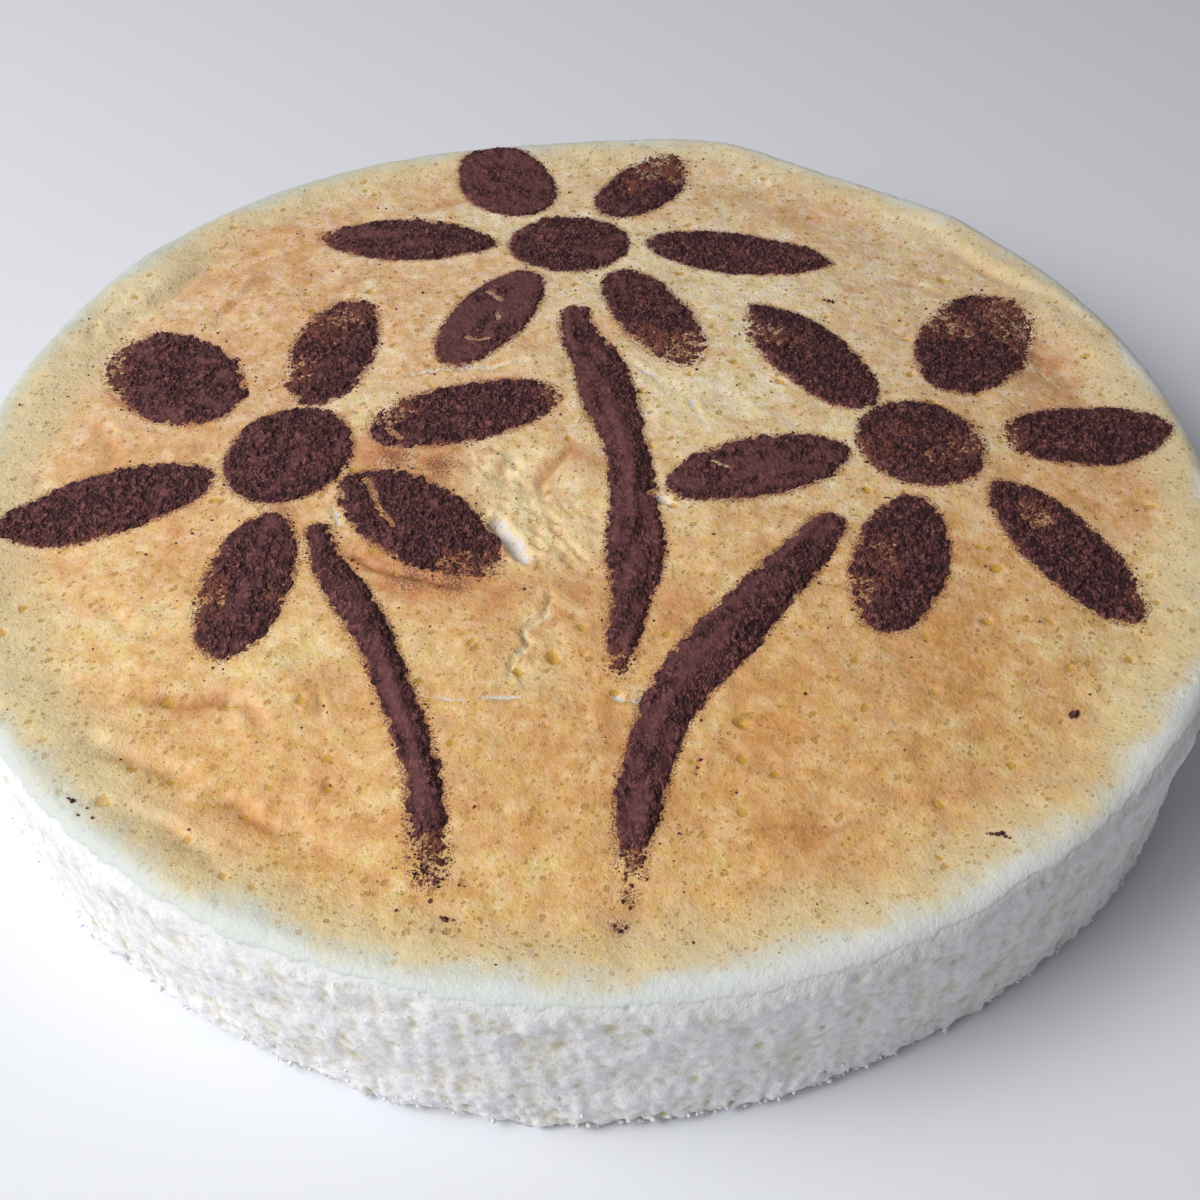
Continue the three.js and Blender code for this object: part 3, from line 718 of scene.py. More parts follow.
def crust_piece(surface, step, material):
    """The browned top with its rounded lip: a thick lid with a ragged lower edge."""
    rings = [np.array([[0, 0, LID_BOTTOM]])]
    rings += [hidden_ring(surface, share, LID_BOTTOM) for share in (0.3, 0.6, 0.9)]
    turn = angles(int(2 * math.pi * surface.radius / step))
    brink = surface.brink(turn)
    for inset, drop in ((4.0, 2.4), (1.2, 0.9), (0.35, 0.2)):  # tucked in behind the sponge
        rings.append(surface.rounded(turn, brink - 0.11, inset, drop))
    steps = int(math.radians(90 - TORN_AT) * surface.shoulder / step) + 2
    for k in range(steps + 1):
        rings.append(surface.rounded(turn, brink + (math.pi / 2 - brink) * k / steps, 0, 0))
    radius = surface.radius - surface.shoulder + SIDE_FLARE - step
    while radius > 0.5 * step:  # closer together in the middle, where the tears are
        spacing = step * (0.84 + 0.46 * float(blend_step(radius, 70, 105)))
        turn = angles(max(6, int(2 * math.pi * radius / spacing)))
        x, y = on_circle(radius * surface.outline(turn) / surface.radius, turn)
        rings.append(np.column_stack([x, y, surface.dressed(x, y)]))
        radius -= spacing
    rings.append(np.array([[0, 0, float(surface.dressed(np.zeros(1), np.zeros(1))[0])]]))
    points, faces = np.concatenate(rings), ring_faces(rings)
    values = crust_values(surface, points)
    return make_piece("crust", points, faces, material, ["cake_body"], values)


def crust_values(surface, points):
    """Masks for the crust's colours, most of them from 0 to 1.

    Bake is how brown the crust is, wan how pale it is near the lip, bared where crumb shows, torn
    and white the inside of tears, dust the cocoa stains, edge the last of the lip, ochre the front
    and right the right half; right paints shade on the lip and its edge at the left, and light on
    them at the right.
    """
    x, y = points[:, 0], points[:, 1]
    flat = flat_points(x, y)
    reach = surface.reach(x, y)
    bake = 0.46 + 0.12 * layered(flat, 17, 101, 3) + 0.09 * layered(flat, 4.5, 102, 2)
    for px, py, radius, change in BROWNED:
        bake += change * bell(x, y, px, py, radius)
    wave = 0.010 * layered(flat, 14, 103, 3)
    bake -= 0.12 * blend_step(reach + wave, 0.86, 0.95)
    lip = np.clip((reach + wave - 0.02 * blend_step(x, 80, 125) - 0.875) / 0.11, 0, 1)
    wan = np.clip((reach + 2 * wave + 0.05 * blend_step(-x, 50, 120) - 0.845) / 0.115, 0, 1)
    scorch = patches_at(SCORCHED, x, y) * (0.8 + 0.6 * layered(flat, 4, 104, 3))
    _, _, opened, white = surface.tears(x, y)
    hollowed, streaky = surface.foam(x, y)
    bared = patches_at(BARED, x, y) * blend_step(layered(flat, 5, 105, 3), -0.7, 0.2)
    bared = np.maximum(bared, 0.8 * streaky)
    bared *= 1 + 0.7 * hollowed
    halo = np.full(x.shape, -99.0)
    for patch in cocoa_patches():
        margin = patch.margin(x, y)
        halo = np.maximum(halo, margin - 3 * patch.bareness(x, y) * (margin > 0))
    return {
        "bake": bake, "scorch": np.clip(scorch, 0, 1), "bared": np.clip(bared, 0, 1),
        "torn": opened, "white": white, "pore": surface.pores(x, y)[1],
        "crease": np.clip(surface.creases(x, y)[1], 0, 1), "lip": lip, "wan": wan,
        "dust": np.maximum(blend_step(halo, -2.2, 0.4), patches_at(STAINED, x, y)),
        "edge": blend_step(reach + wave, 0.966, 0.988), "ochre": blend_step(-y, -50, 90),
        # Paints shade on the lip and its edge at the left, and light on them at the right.
        "right": blend_step(x, -110, 110),
    }


def sponge_relief(surface, turn, height):
    """How far the torn side stands out or in, and its hollows from 0 to 1."""
    x, y = on_circle(surface.radius, turn)
    points = np.stack([x, y, height], -1)
    streaks = np.stack([x, y, height * 0.22], -1)
    waves = np.sin(7 * turn + 0.12 * height) + 0.6 * np.sin(23 * turn - 0.31 * height + 1.1)
    broad = 0.35 * waves
    low = blend_step(-height, -16, -1)
    round_side = 2 * math.pi * surface.radius
    along = turn * surface.radius + 0.5 * noise(points, 2.5, 117)
    up = 0.8 * height + 0.4 * noise(points, 2.0, 118)
    crumbs, size = scattered_spots(along, up, round_side / 400, 119, 0.95, 400)
    domed = 1 - np.clip(crumbs / 1.35, 0, 1) ** 2
    lumpy = (0.22 + 0.34 * low) * (0.6 + 0.8 * size) * domed - 0.15
    torn = 0.36 * noise(points, 5.0, 111) + 0.26 * noise(streaks, 1.9, 112)
    torn = torn + 0.18 * noise(points, 1.3, 114) + lumpy
    pits, wide = scattered_spots(along, 0.65 * height, round_side / 150, 115, 0.5, 150)
    radius = 0.4 + 0.9 * wide**2
    pit = blend_step(-pits, -1.5 * radius, -0.2 * radius)
    # The hollows are painted darker and yellower: partly the yellower crumb, partly painted shade
    # in recesses.
    hollow_and_shade = np.clip(0.2 - 0.9 * torn, 0, 1) * 0.6 + (0.4 + 0.5 * low) * pit
    return broad + torn - (0.35 + 0.55 * low) * pit, np.clip(hollow_and_shade, 0, 1)


def sponge_piece(surface, step, material):
    """The torn, pale side and the underside of the cake."""
    rings, hollows, tints = [], [], []

    def add_ring(points, hollow_and_shade=0.0, tint=0.0):
        rings.append(points)
        hollows.append(np.broadcast_to(hollow_and_shade, len(points)))
        tints.append(np.broadcast_to(tint, len(points)))

    add_ring(np.zeros((1, 3)))
    for share in (0.3, 0.6, 0.9):
        add_ring(hidden_ring(surface, share, 0.0))
    turn = angles(int(2 * math.pi * surface.radius / step))
    outline = surface.outline(turn)
    brow = surface.crust(*on_circle(BROW_REACH * outline, turn))
    fringe = 0.9 * noise(flat_points(*on_circle(surface.radius, turn)), 2.4, 116)
    rows = int(SIDE_HEIGHT / step)
    for k in range(rows + 1):
        height = (brow - surface.shoulder) * k / rows
        relief, hollow_and_shade = sponge_relief(surface, turn, height)
        foot = FOOT_INSET * (1 - blend_step(height, 0, FOOT_HEIGHT))
        flare = SIDE_FLARE * (1 - 2 * k / rows)
        radius = outline - flare - foot + relief + fringe * blend_step(-height, -3, 0) - 0.3
        add_ring(np.column_stack([*on_circle(radius, turn), height]), hollow_and_shade)
    brink = surface.brink(turn)
    bends = int(math.radians(SPONGE_UP_TO) * surface.shoulder / step)
    for k in range(1, bends + 1):
        bend = math.radians(SPONGE_UP_TO) * k / bends
        past = bend - brink
        height = brow - surface.shoulder * (1 - math.sin(bend))
        relief, hollow_and_shade = sponge_relief(surface, turn, height)
        fade = 1 - 0.88 * blend_step(past, -0.6, -0.05)
        sunk = 0.3 - 0.24 * blend_step(past, -0.6, -0.1) + 0.9 * blend_step(past, 0.0, 0.4)
        points = surface.rounded(turn, bend, sunk - relief * fade, 0.3 * sunk)
        add_ring(points, hollow_and_shade * fade, blend_step(past, -0.75, 0.05))
    for share, level in ((0.92, SPONGE_TOP + 1), (0.6, SPONGE_TOP), (0.3, SPONGE_TOP)):
        add_ring(hidden_ring(surface, share, level), 0.0, 1.0)
    add_ring(np.array([[0, 0, SPONGE_TOP]]), 0.0, 1.0)
    points, faces = np.concatenate(rings), ring_faces(rings)
    values = {"hollow_and_shade": np.concatenate(hollows), "tint": np.concatenate(tints)}
    return make_piece("sponge", points, faces, material, ["cake_body"], values)


def powder_piece(surface, patch, step, material):
    """A closed, uneven layer of powder on the crust, with a ragged edge."""
    x0, y0, x1, y1 = patch.box
    gx, gy = np.meshgrid(np.arange(x0, x1, step), np.arange(y0, y1, step), indexing="ij")
    x, y = gx.ravel(), gy.ravel()
    depth, smear, heap, thin = powder_depth(patch, x, y)
    shape = gx.shape
    laid = (depth > 0).reshape(shape)
    kept = laid[:-1, :-1] | laid[1:, :-1] | laid[:-1, 1:] | laid[1:, 1:]
    while True:  # until no two squares with powder touch at a corner alone
        cross = kept[:-1, :-1] & kept[1:, 1:] & ~kept[1:, :-1] & ~kept[:-1, 1:]
        other = ~kept[:-1, :-1] & ~kept[1:, 1:] & kept[1:, :-1] & kept[:-1, 1:]
        if not cross.any() and not other.any():
            break
        kept[1:, :-1] |= cross
        kept[:-1, :-1] |= other
    number = np.arange(x.size).reshape(shape)
    corners = (number[:-1, :-1], number[1:, :-1], number[1:, 1:], number[:-1, 1:])
    a, b, c, d = (corner[kept] for corner in corners)
    under = x.size
    faces = [np.stack([a, b, c, d], -1), under + np.stack([d, c, b, a], -1)]
    padded = np.pad(kept, 1)
    sides = (
        (padded[1:-1, :-2], number[:-1, :-1], number[1:, :-1]),
        (padded[2:, 1:-1], number[1:, :-1], number[1:, 1:]),
        (padded[1:-1, 2:], number[1:, 1:], number[:-1, 1:]),
        (padded[:-2, 1:-1], number[:-1, 1:], number[:-1, :-1]),
    )
    for beyond, start, end in sides:
        edge = kept & ~beyond
        s, e = start[edge], end[edge]
        faces.append(np.stack([s, s + under, e + under, e], -1))
    faces = np.concatenate(faces)
    used, faces = np.unique(faces, return_inverse=True)
    faces = faces.reshape(-1, 4)
    spot = used % under
    level = surface.dressed(x[spot], y[spot])
    lift = np.where(used < under, np.maximum(depth[spot], -WORN_BELOW), -POWDER_BELOW)
    points = np.column_stack([x[spot], y[spot], level + lift])
    values = {"smear": smear[spot], "heap": heap[spot], "thin": thin[spot]}
    name, node = "powder_" + patch.name, "cocoa_" + patch.name
    return make_piece(name, points, faces, material, [node], values)


def lump(subdivided):
    """Points and triangles of a lump of unit radius, from an octahedron."""
    points = [(1, 0, 0), (-1, 0, 0), (0, 1, 0), (0, -1, 0), (0, 0, 1), (0, 0, -1)]
    faces = [(0, 2, 4), (2, 1, 4), (1, 3, 4), (3, 0, 4), (2, 0, 5), (1, 2, 5), (3, 1, 5), (0, 3, 5)]
    for _ in range(subdivided):
        middles, split = {}, []
        for tri in faces:
            mids = []
            for k in range(3):
                pair = tuple(sorted((tri[k], tri[(k + 1) % 3])))
                if pair not in middles:
                    middles[pair] = len(points)
                    points.append(tuple(np.add(points[pair[0]], points[pair[1]]) / 2))
                mids.append(middles[pair])
            split += [(tri[0], mids[0], mids[2]), (tri[1], mids[1], mids[0])]
            split += [(tri[2], mids[2], mids[1]), tuple(mids)]
        faces = split
    points = np.array(points, float)
    return points / np.linalg.norm(points, axis=1)[:, None], np.array(faces)


def scattered_piece(
    name, places, sizes, material, rng, subdivided=0, rough=0.35, values=None
):
    """Many small uneven lumps joined in one mesh."""
    base, faces = lump(subdivided)
    count = len(places)
    turned = np.empty((count, len(base), 3))
    for k in range(count):
        stretch = rng.uniform(0.65, 1.35, 3)
        turned[k] = base * stretch * (1 + rough * rng.uniform(-1, 1, (len(base), 1)))
        roll = Matrix.Rotation(rng.uniform(0, math.tau), 3, Vector(rng.normal(size=3)))
        turned[k] = turned[k] @ np.array(roll)
    points = (turned * sizes[:, None, None] + places[:, None, :]).reshape(-1, 3)
    faces = (faces[None] + (np.arange(count) * len(base))[:, None, None]).reshape(-1, 3)
    values = {key: np.full(len(points), value) for key, value in (values or {}).items()}
    return make_piece(name, points, faces, material, values=values, smooth=subdivided > 0)


# ---- Materials -------------------------------------------------------------------------------


class Nodes:
    """Adds nodes to a tree and links them, with inputs given as values or other nodes' outputs."""

    def __init__(self, tree):
        self.tree = tree

    def fill(self, node, inputs):
        for key, value in inputs.items():
            socket = node.inputs[key]
            if isinstance(value, bpy.types.NodeSocket):
                self.tree.links.new(value, socket)
            elif socket.type == "RGBA":
                socket.default_value = (*value, 1.0)
            else:
                socket.default_value = value
        return node

    def add(self, kind, inputs=None, output=0, **settings):
        node = self.tree.nodes.new(kind)
        for key, value in settings.items():
            setattr(node, key, value)
        return self.fill(node, inputs or {}).outputs[output]

    def group(self, tree, inputs):
        """A node group in this tree, as a node."""
        node = self.tree.nodes.new("ShaderNodeGroup")
        node.node_tree = tree
        return self.fill(node, inputs)

    def math(self, operation, first, second, clamp=False):
        levels = {0: first, 1: second}
        return self.add("ShaderNodeMath", levels, operation=operation, use_clamp=clamp)

    def plus(self, first, second, clamp=False):
        return self.math("ADD", first, second, clamp)

    def minus(self, first, second, clamp=False):
        return self.math("SUBTRACT", first, second, clamp)

    def times(self, first, second, clamp=False):
        return self.math("MULTIPLY", first, second, clamp)

    def mix(self, share, first, second, kind="MIX"):
        levels = {0: share, 6: first, 7: second}
        return self.add("ShaderNodeMix", levels, 2, data_type="RGBA", blend_type=kind)

    def mask(self, value, low, high, start=0.0, end=1.0):
        levels = {"Value": value, "From Min": low, "From Max": high, "To Min": start, "To Max": end}
        return self.add("ShaderNodeMapRange", levels, interpolation_type="SMOOTHSTEP")

    def noise(self, place, scale, detail, roughness=0.5):
        """Soft noise round 0."""
        levels = {"Vector": place, "Scale": scale, "Detail": detail, "Roughness": roughness}
        return self.minus(self.add("ShaderNodeTexNoise", levels), 0.5)

    def cells(self, place, scale):
        """Cells, as a node with Distance and Color, and each cell's random numbers."""
        cells = self.add("ShaderNodeTexVoronoi", {"Vector": place, "Scale": scale}).node
        return cells, self.add("ShaderNodeSeparateColor", {0: cells.outputs["Color"]}).node.outputs

    def shifted(self, place, by):
        return self.add("ShaderNodeVectorMath", {0: place, 1: by}, operation="ADD")

    def bump(self, height, strength, distance):
        levels = {"Strength": strength, "Distance": distance, "Height": height}
        return self.add("ShaderNodeBump", levels)

    def ramp(self, value, stops):
        """Colours at places from 0 to 1 along a value."""
        blended = self.add("ShaderNodeValToRGB", {0: value})
        elements = blended.node.color_ramp.elements
        while len(elements) < len(stops):
            elements.new(0.5)
        for element, (at, colour) in zip(elements, stops):
            element.position = at
            element.color = (*colour, 1.0)
        return blended

    def attribute(self, name):
        return self.add("ShaderNodeAttribute", output="Fac", attribute_name=name)

    def place(self):
        return self.add("ShaderNodeTexCoord", output="Object")


def new_group(name, inputs, outputs):
    tree = bpy.data.node_groups.new(name, "ShaderNodeTree")
    for label, kind, default in inputs:
        socket = tree.interface.new_socket(name=label, in_out="INPUT", socket_type=kind)
        if default is not None:
            socket.default_value = default
    for label in outputs:
        tree.interface.new_socket(name=label, in_out="OUTPUT", socket_type="NodeSocketFloat")
    start, end = tree.nodes.new("NodeGroupInput"), tree.nodes.new("NodeGroupOutput")
    return tree, Nodes(tree), start.outputs, end.inputs


def crumb_group():
    """The fine crumb of skin and sponge: its height, its small pores and a soft mottle.

    Grain is how strong the crumb is, and Open how deep the pores are.
    """
    found = bpy.data.node_groups.get("Crumb")
    if found:
        return found
    inputs = [
        ("Place", "NodeSocketVector", None),
        ("Grain", "NodeSocketFloat", 1.0),
        ("Open", "NodeSocketFloat", 1.0),
    ]
    tree, nodes, start, end = new_group("Crumb", inputs, ("Height", "Pores", "Mottle"))
    place = start["Place"]
    mottle = nodes.noise(place, 330, 2, 0.6)
    grain = nodes.noise(place, 1050, 3, 0.7)
    bent = nodes.shifted(place, nodes.times(grain, 0.0030))
    holes = []
    for scale, share, least, spread in ((380, 0.6, 0.12, 0.22), (850, 0.55, 0.18, 0.20)):
        cells, random = nodes.cells(bent, scale)
        there = nodes.math("LESS_THAN", random[0], share)
        radius = nodes.plus(least, nodes.times(nodes.math("POWER", random[1], 2.0), spread))
        edge = nodes.math("DIVIDE", cells.outputs["Distance"], radius)
        holes.append(nodes.times(there, nodes.mask(edge, 1.0, 0.6)))
    hole = nodes.math("MAXIMUM", *holes)
    sunk = nodes.times(hole, nodes.times(start["Open"], 0.6))
    height = nodes.minus(nodes.times(grain, start["Grain"]), sunk)
    for label, socket in (("Height", height), ("Pores", hole), ("Mottle", mottle)):
        tree.links.new(socket, end[label])
    return tree


def new_material(name):
    material = bpy.data.materials.new(name)
    material.use_nodes = True
    tree = material.node_tree
    return material, Nodes(tree), tree.nodes["Principled BSDF"]


def crust_material(colours):
    material, nodes, shader = new_material("Browned crust")
    place, lip = nodes.place(), nodes.attribute("lip")
    open_pores = nodes.mask(lip, 0.3, 1.0, 1.0, 0.15)
    grain = nodes.mask(lip, 0.2, 1.0, 0.85, 0.5)
    crumb = nodes.group(crumb_group(), {"Place": place, "Grain": grain, "Open": open_pores}).outputs
    height, mottle = crumb["Height"], crumb["Mottle"]
    broad = nodes.noise(place, 150, 2)

    # Browning, yellower to the front and in a fine mottle, with painted shade in the low spots of
    # the crumb.
    bake = nodes.plus(nodes.attribute("bake"), nodes.times(broad, 0.6))
    bake = nodes.plus(bake, nodes.times(mottle, 0.9))
    # The low spots and small pores of the fine crumb are painted browner: painted shade in its
    # crevices.
    bake = nodes.minus(bake, nodes.times(height, 0.5), clamp=True)
    stops = ((0.0, colours.raw), (0.3, colours.pale), (0.58, colours.golden), (0.9, colours.brown))
    colour = nodes.ramp(bake, stops)
    colour = nodes.mix(nodes.attribute("ochre"), colour, colours.ochre, "MULTIPLY")
    yellower = nodes.mask(nodes.noise(place, 430, 2), -0.1, 0.1)
    colour = nodes.mix(yellower, colour, colours.yellower, "MULTIPLY")
    patchy = nodes.mask(nodes.plus(broad, mottle), -0.25, 0.2, 0.55, 1.0)
    scorch = nodes.times(nodes.attribute("scorch"), patchy, clamp=True)
    colour = nodes.mix(scorch, colour, colours.scorched)
    colour = nodes.mix(nodes.attribute("crease"), colour, colours.crease)

    # The pale skin near the lip, and the lip.
    uneven = nodes.plus(nodes.times(broad, 1.2), nodes.times(mottle, 0.9))
    wan = nodes.mask(nodes.plus(nodes.attribute("wan"), uneven), 0.0, 1.05, 0.0, 0.72)
    colour = nodes.mix(wan, colour, colours.olive)
    # The lip is painted darker at the left and lighter at the right: painted shade and painted
    # light.
    right = nodes.attribute("right")
    lip_light_and_shade = nodes.mix(right, colours.lip, colours.lip_painted_light)
    lipped = nodes.mask(nodes.plus(lip, nodes.times(broad, 0.7)), 0.5, 1.0, 0.0, 0.95)
    colour = nodes.mix(lipped, colour, lip_light_and_shade)

    # Bared crumb, tears and pores.
    colour = nodes.mix(nodes.times(nodes.attribute("bared"), 0.85), colour, colours.crumb)
    opened = nodes.plus(nodes.attribute("torn"), nodes.times(mottle, 0.8))
    white = nodes.plus(nodes.attribute("white"), nodes.times(mottle, 1.5), clamp=True)
    inside = nodes.mix(white, colours.torn, colours.white_crumb)
    colour = nodes.mix(nodes.mask(opened, 0.42, 0.6), colour, inside)
    field = nodes.plus(nodes.attribute("pore"), nodes.times(height, 0.8))
    wide = nodes.times(nodes.mask(field, 0.42, 0.56), open_pores)
    colour = nodes.mix(nodes.times(wide, 0.85), colour, colours.pore)
    small = nodes.times(crumb["Pores"], nodes.mask(lip, 0.4, 1.0, 0.8, 0.3))
    colour = nodes.mix(small, colour, colours.small_pore)

    # Cocoa dust, brown flecks and the edge of the lip.
    specks = nodes.noise(place, 3000, 1)
    dusty = nodes.plus(nodes.times(nodes.attribute("dust"), 0.45), specks)
    colour = nodes.mix(nodes.times(nodes.mask(dusty, 0.26, 0.48), 0.85), colour, colours.cocoa_thin)
    fleck = nodes.mask(specks, 0.24, 0.3)
    colour = nodes.mix(nodes.times(fleck, 0.55), colour, colours.crease)
    # Partly pale skin, partly a painted highlight on the rounding; painted shade left, painted
    # light right.
    rim_light_and_shade = nodes.mix(right, colours.rim, colours.rim_painted_light)
    colour = nodes.mix(nodes.attribute("edge"), colour, rim_light_and_shade)

    level = nodes.minus(height, nodes.times(wide, 0.25))
    nodes.fill(shader, {
        "Base Color": colour, "Normal": nodes.bump(level, 0.6, 0.0007), "Roughness": 0.5,
        "Specular IOR Level": 0.4,
    })
    return material


def sponge_material(colours):
    material, nodes, shader = new_material("Torn sponge")
    crumb = nodes.group(crumb_group(), {"Place": nodes.place(), "Grain": 1.0}).outputs
    height = crumb["Height"]
    # Hollows, pores and low crumb painted darker, yellower: yellower crumb and painted shade in
    # recesses.
    hollow_and_shade = nodes.minus(nodes.attribute("hollow_and_shade"), nodes.times(height, 0.3))
    hollow_and_shade = nodes.plus(hollow_and_shade, nodes.times(crumb["Mottle"], 0.6), clamp=True)
    stops = ((0.1, colours.sponge), (0.6, colours.hollow_and_shade), (1.0, colours.deep_hollow_and_shade))
    colour = nodes.ramp(hollow_and_shade, stops)
    colour = nodes.mix(nodes.times(crumb["Pores"], 0.4), colour, colours.hollow_and_shade)
    colour = nodes.mix(nodes.times(nodes.attribute("tint"), 0.7), colour, colours.side_top)
    nodes.fill(shader, {
        "Base Color": colour, "Normal": nodes.bump(height, 0.45, 0.0008), "Roughness": 0.8,
        "Specular IOR Level": 0.2, "Subsurface Weight": 0.35, "Subsurface Scale": 0.0022,
        "Subsurface Radius": (1.0, 0.85, 0.7),
    })
    return material


def cocoa_material(colours):
    material, nodes, shader = new_material("Cocoa powder")
    place, smear = nodes.place(), nodes.attribute("smear")
    soft, clumpy = nodes.noise(place, 700, 3), nodes.noise(place, 300, 2)
    grains, random = nodes.cells(nodes.shifted(place, nodes.times(soft, 0.0012)), 1400)
    # Lightest mid-grain, darkest between grains: painted highlight and shade in colour, real lumps
    # in the bump.
    rounded = nodes.minus(0.55, grains.outputs["Distance"])

    # Heaped powder has its own light and dark grains, with a painted highlight in the middle of
    # each grain and painted shade in the gaps; pressed powder is even.
    light = nodes.plus(nodes.times(rounded, 0.8), nodes.times(soft, 1.2))
    for part, share in ((random[0], 0.35), (clumpy, 0.7), (nodes.attribute("heap"), 0.35)):
        light = nodes.plus(light, nodes.times(part, share))
    stops = ((0.1, colours.cocoa_dark_and_shade), (0.45, colours.cocoa), (0.85, colours.cocoa_pale_and_lit))
    heaped = nodes.ramp(light, stops)
    pressed = nodes.mix(nodes.mask(soft, -0.3, 0.3), colours.cocoa, colours.cocoa_pressed)
    colour = nodes.mix(nodes.times(smear, 0.8), heaped, pressed)
    thin = nodes.plus(nodes.attribute("thin"), soft)
    colour = nodes.mix(nodes.mask(thin, 0.25, 0.9, 0.0, 0.85), colour, colours.cocoa_thin)

    calm = nodes.mask(smear, 0.0, 1.0, 1.0, 0.35)
    lumps = nodes.times(nodes.plus(nodes.times(soft, 1.2), rounded), calm)
    nodes.fill(shader, {
        "Base Color": colour, "Normal": nodes.bump(lumps, 1.0, 0.0007), "Roughness": 0.8,
        "Specular IOR Level": 0.35,
    })
    return material


def floor_material(colours):
    material, nodes, shader = new_material("Studio floor")
    nodes.fill(shader, {"Base Color": colours.floor, "Roughness": 0.7, "Specular IOR Level": 0.2})
    return material


# ---- Panel settings --------------------------------------------------------------------------


def length(name, description, default):
    return FloatProperty(
        name=name, description=description, default=default, unit="LENGTH", precision=4, min=0.0001
    )


def angle(name, description, degrees):
    return FloatProperty(
        name=name, description=description, default=math.radians(degrees), subtype="ANGLE"
    )


def power(name, description, default):
    return FloatProperty(name=name, description=description, default=default, subtype="POWER")


def colour(name, description, default):
    return FloatVectorProperty(
        name=name, description=description, default=default, subtype="COLOR", size=3, min=0, max=1
    )


class CakeSizes(bpy.types.PropertyGroup):
    """Sizes that a user would change."""

    radius: length("Radius", "Inside radius of the baking tin", 0.130)
    lip_height: length("Lip height", "Height of the rounded lip above the base", 0.0415)
    shoulder: length("Shoulder", "Radius of the edge between crust and side", 0.0055)
    groove_height: length("Groove height", "Height of the groove inside the lip", 0.0401)
    dome_rise: length("Dome rise", "How far the middle stands above the groove", 0.0057)
    crust_step: length("Crust step", "Spacing of the crust's points", 0.00077)
    sponge_step: length("Sponge step", "Spacing of the side's points", 0.00060)
    powder_step: length("Powder step", "Spacing of the cocoa's points", 0.00038)
    grain_density: FloatProperty(
        name="Grain density", description="Loose grains tried beside the daisies per mm²",
        default=8.0, min=0,
    )
    crumbs: IntProperty(
        name="Crumbs", description="Crumbs on the side and foot", default=2200, min=0
    )


class CakeColours(bpy.types.PropertyGroup):
    """Colours of the crust, the sponge and the cocoa."""

    raw: colour("Raw", "Crust that hardly browned", srgb(244, 233, 208))
    pale: colour("Pale", "Lightly baked crust", srgb(239, 215, 184))
    golden: colour("Golden", "Golden crust", srgb(232, 190, 153))
    brown: colour("Brown", "Brown crust", srgb(214, 157, 109))
    ochre: colour("Ochre", "Tint of the front, which baked yellower", srgb(254, 249, 218))
    yellower: colour("Yellower", "Tint of the yellower mottle", srgb(246, 245, 216))
    scorched: colour("Scorched", "Reddish patches", srgb(204, 136, 88))
    crease: colour("Crease", "Brown along the creases", srgb(182, 118, 64))
    olive: colour("Olive", "Pale skin inside the lip", srgb(222, 208, 166))
    # The lip's two colours are painted shade at the left and painted light at the right.
    lip: colour("Lip", "Rounded lip at the left", srgb(204, 208, 193))
    lip_painted_light: colour("Pale lip", "Rounded lip at the right", srgb(226, 229, 215))
    crumb: colour("Bared crumb", "Crumb under torn crust", srgb(242, 228, 180))
    torn: colour("Tear", "Sponge inside the tears", srgb(224, 198, 142))
    white_crumb: colour("White crumb", "White sponge inside deep tears", srgb(220, 218, 223))
    pore: colour("Pore", "Ochre inside the wide pores", srgb(197, 152, 56))
    small_pore: colour("Small pore", "Ochre inside the small pores", srgb(196, 153, 78))
    # Edge of the lip: pale skin with a painted highlight on the rounding, painted shade at the
    # left.
    rim: colour("Rim", "Edge of the lip at the left", srgb(204, 210, 205))
    rim_painted_light: colour("Pale rim", "Edge of the lip at the right", srgb(230, 234, 230))
    sponge: colour("Sponge", "Torn side", srgb(240, 239, 240))
    side_top: colour("Top of the side", "Side next to the lip", srgb(220, 224, 221))
    # The hollow colours are partly the yellower crumb and partly painted shade in the recesses.
    hollow_and_shade: colour("Hollow", "Hollows of the side", srgb(214, 209, 182))
    deep_hollow_and_shade: colour("Deep hollow", "Yellow crumb deep in the side", srgb(204, 188, 140))
    cocoa: colour("Cocoa", "Powder", srgb(94, 52, 54))
    cocoa_pressed: colour("Pressed cocoa", "Powder pressed smooth", srgb(112, 69, 68))
    # Dark cocoa is partly painted shade in the gaps between grains, light cocoa partly a painted
    # highlight.
    cocoa_dark_and_shade: colour("Dark cocoa", "Gaps between the grains", srgb(56, 27, 30))
    cocoa_pale_and_lit: colour("Light cocoa", "Grains in the light", srgb(144, 91, 88))
    cocoa_thin: colour("Thin cocoa", "A thin dusting", srgb(128, 74, 60))
    floor: colour("Floor", "Plain floor", srgb(228, 231, 237))


class CakeStage(bpy.types.PropertyGroup):
    """Camera and light."""

    lens: FloatProperty(
        name="Lens", description="Focal length on a 36 mm sensor", default=48.45,
        subtype="DISTANCE_CAMERA",
    )
    camera_back: length("Camera distance", "How far the camera is in front of the middle", 0.2582)
    camera_height: length("Camera height", "How far the camera is above the base", 0.2618)
    pitch: angle("Pitch", "How far the camera looks down", 45.69)
    yaw: angle("Yaw", "How far the camera turns right", 0.84)
    roll: angle("Roll", "How far the camera tilts", -0.22)
    key_power: power("Key light", "Power of the window light", 7.9)
    fill_power: power("Fill light", "Power of the light nearer the front", 6.2)
    sky: FloatProperty(name="Room light", description="Strength of the even light", default=0.18)


# ---- Operators -------------------------------------------------------------------------------


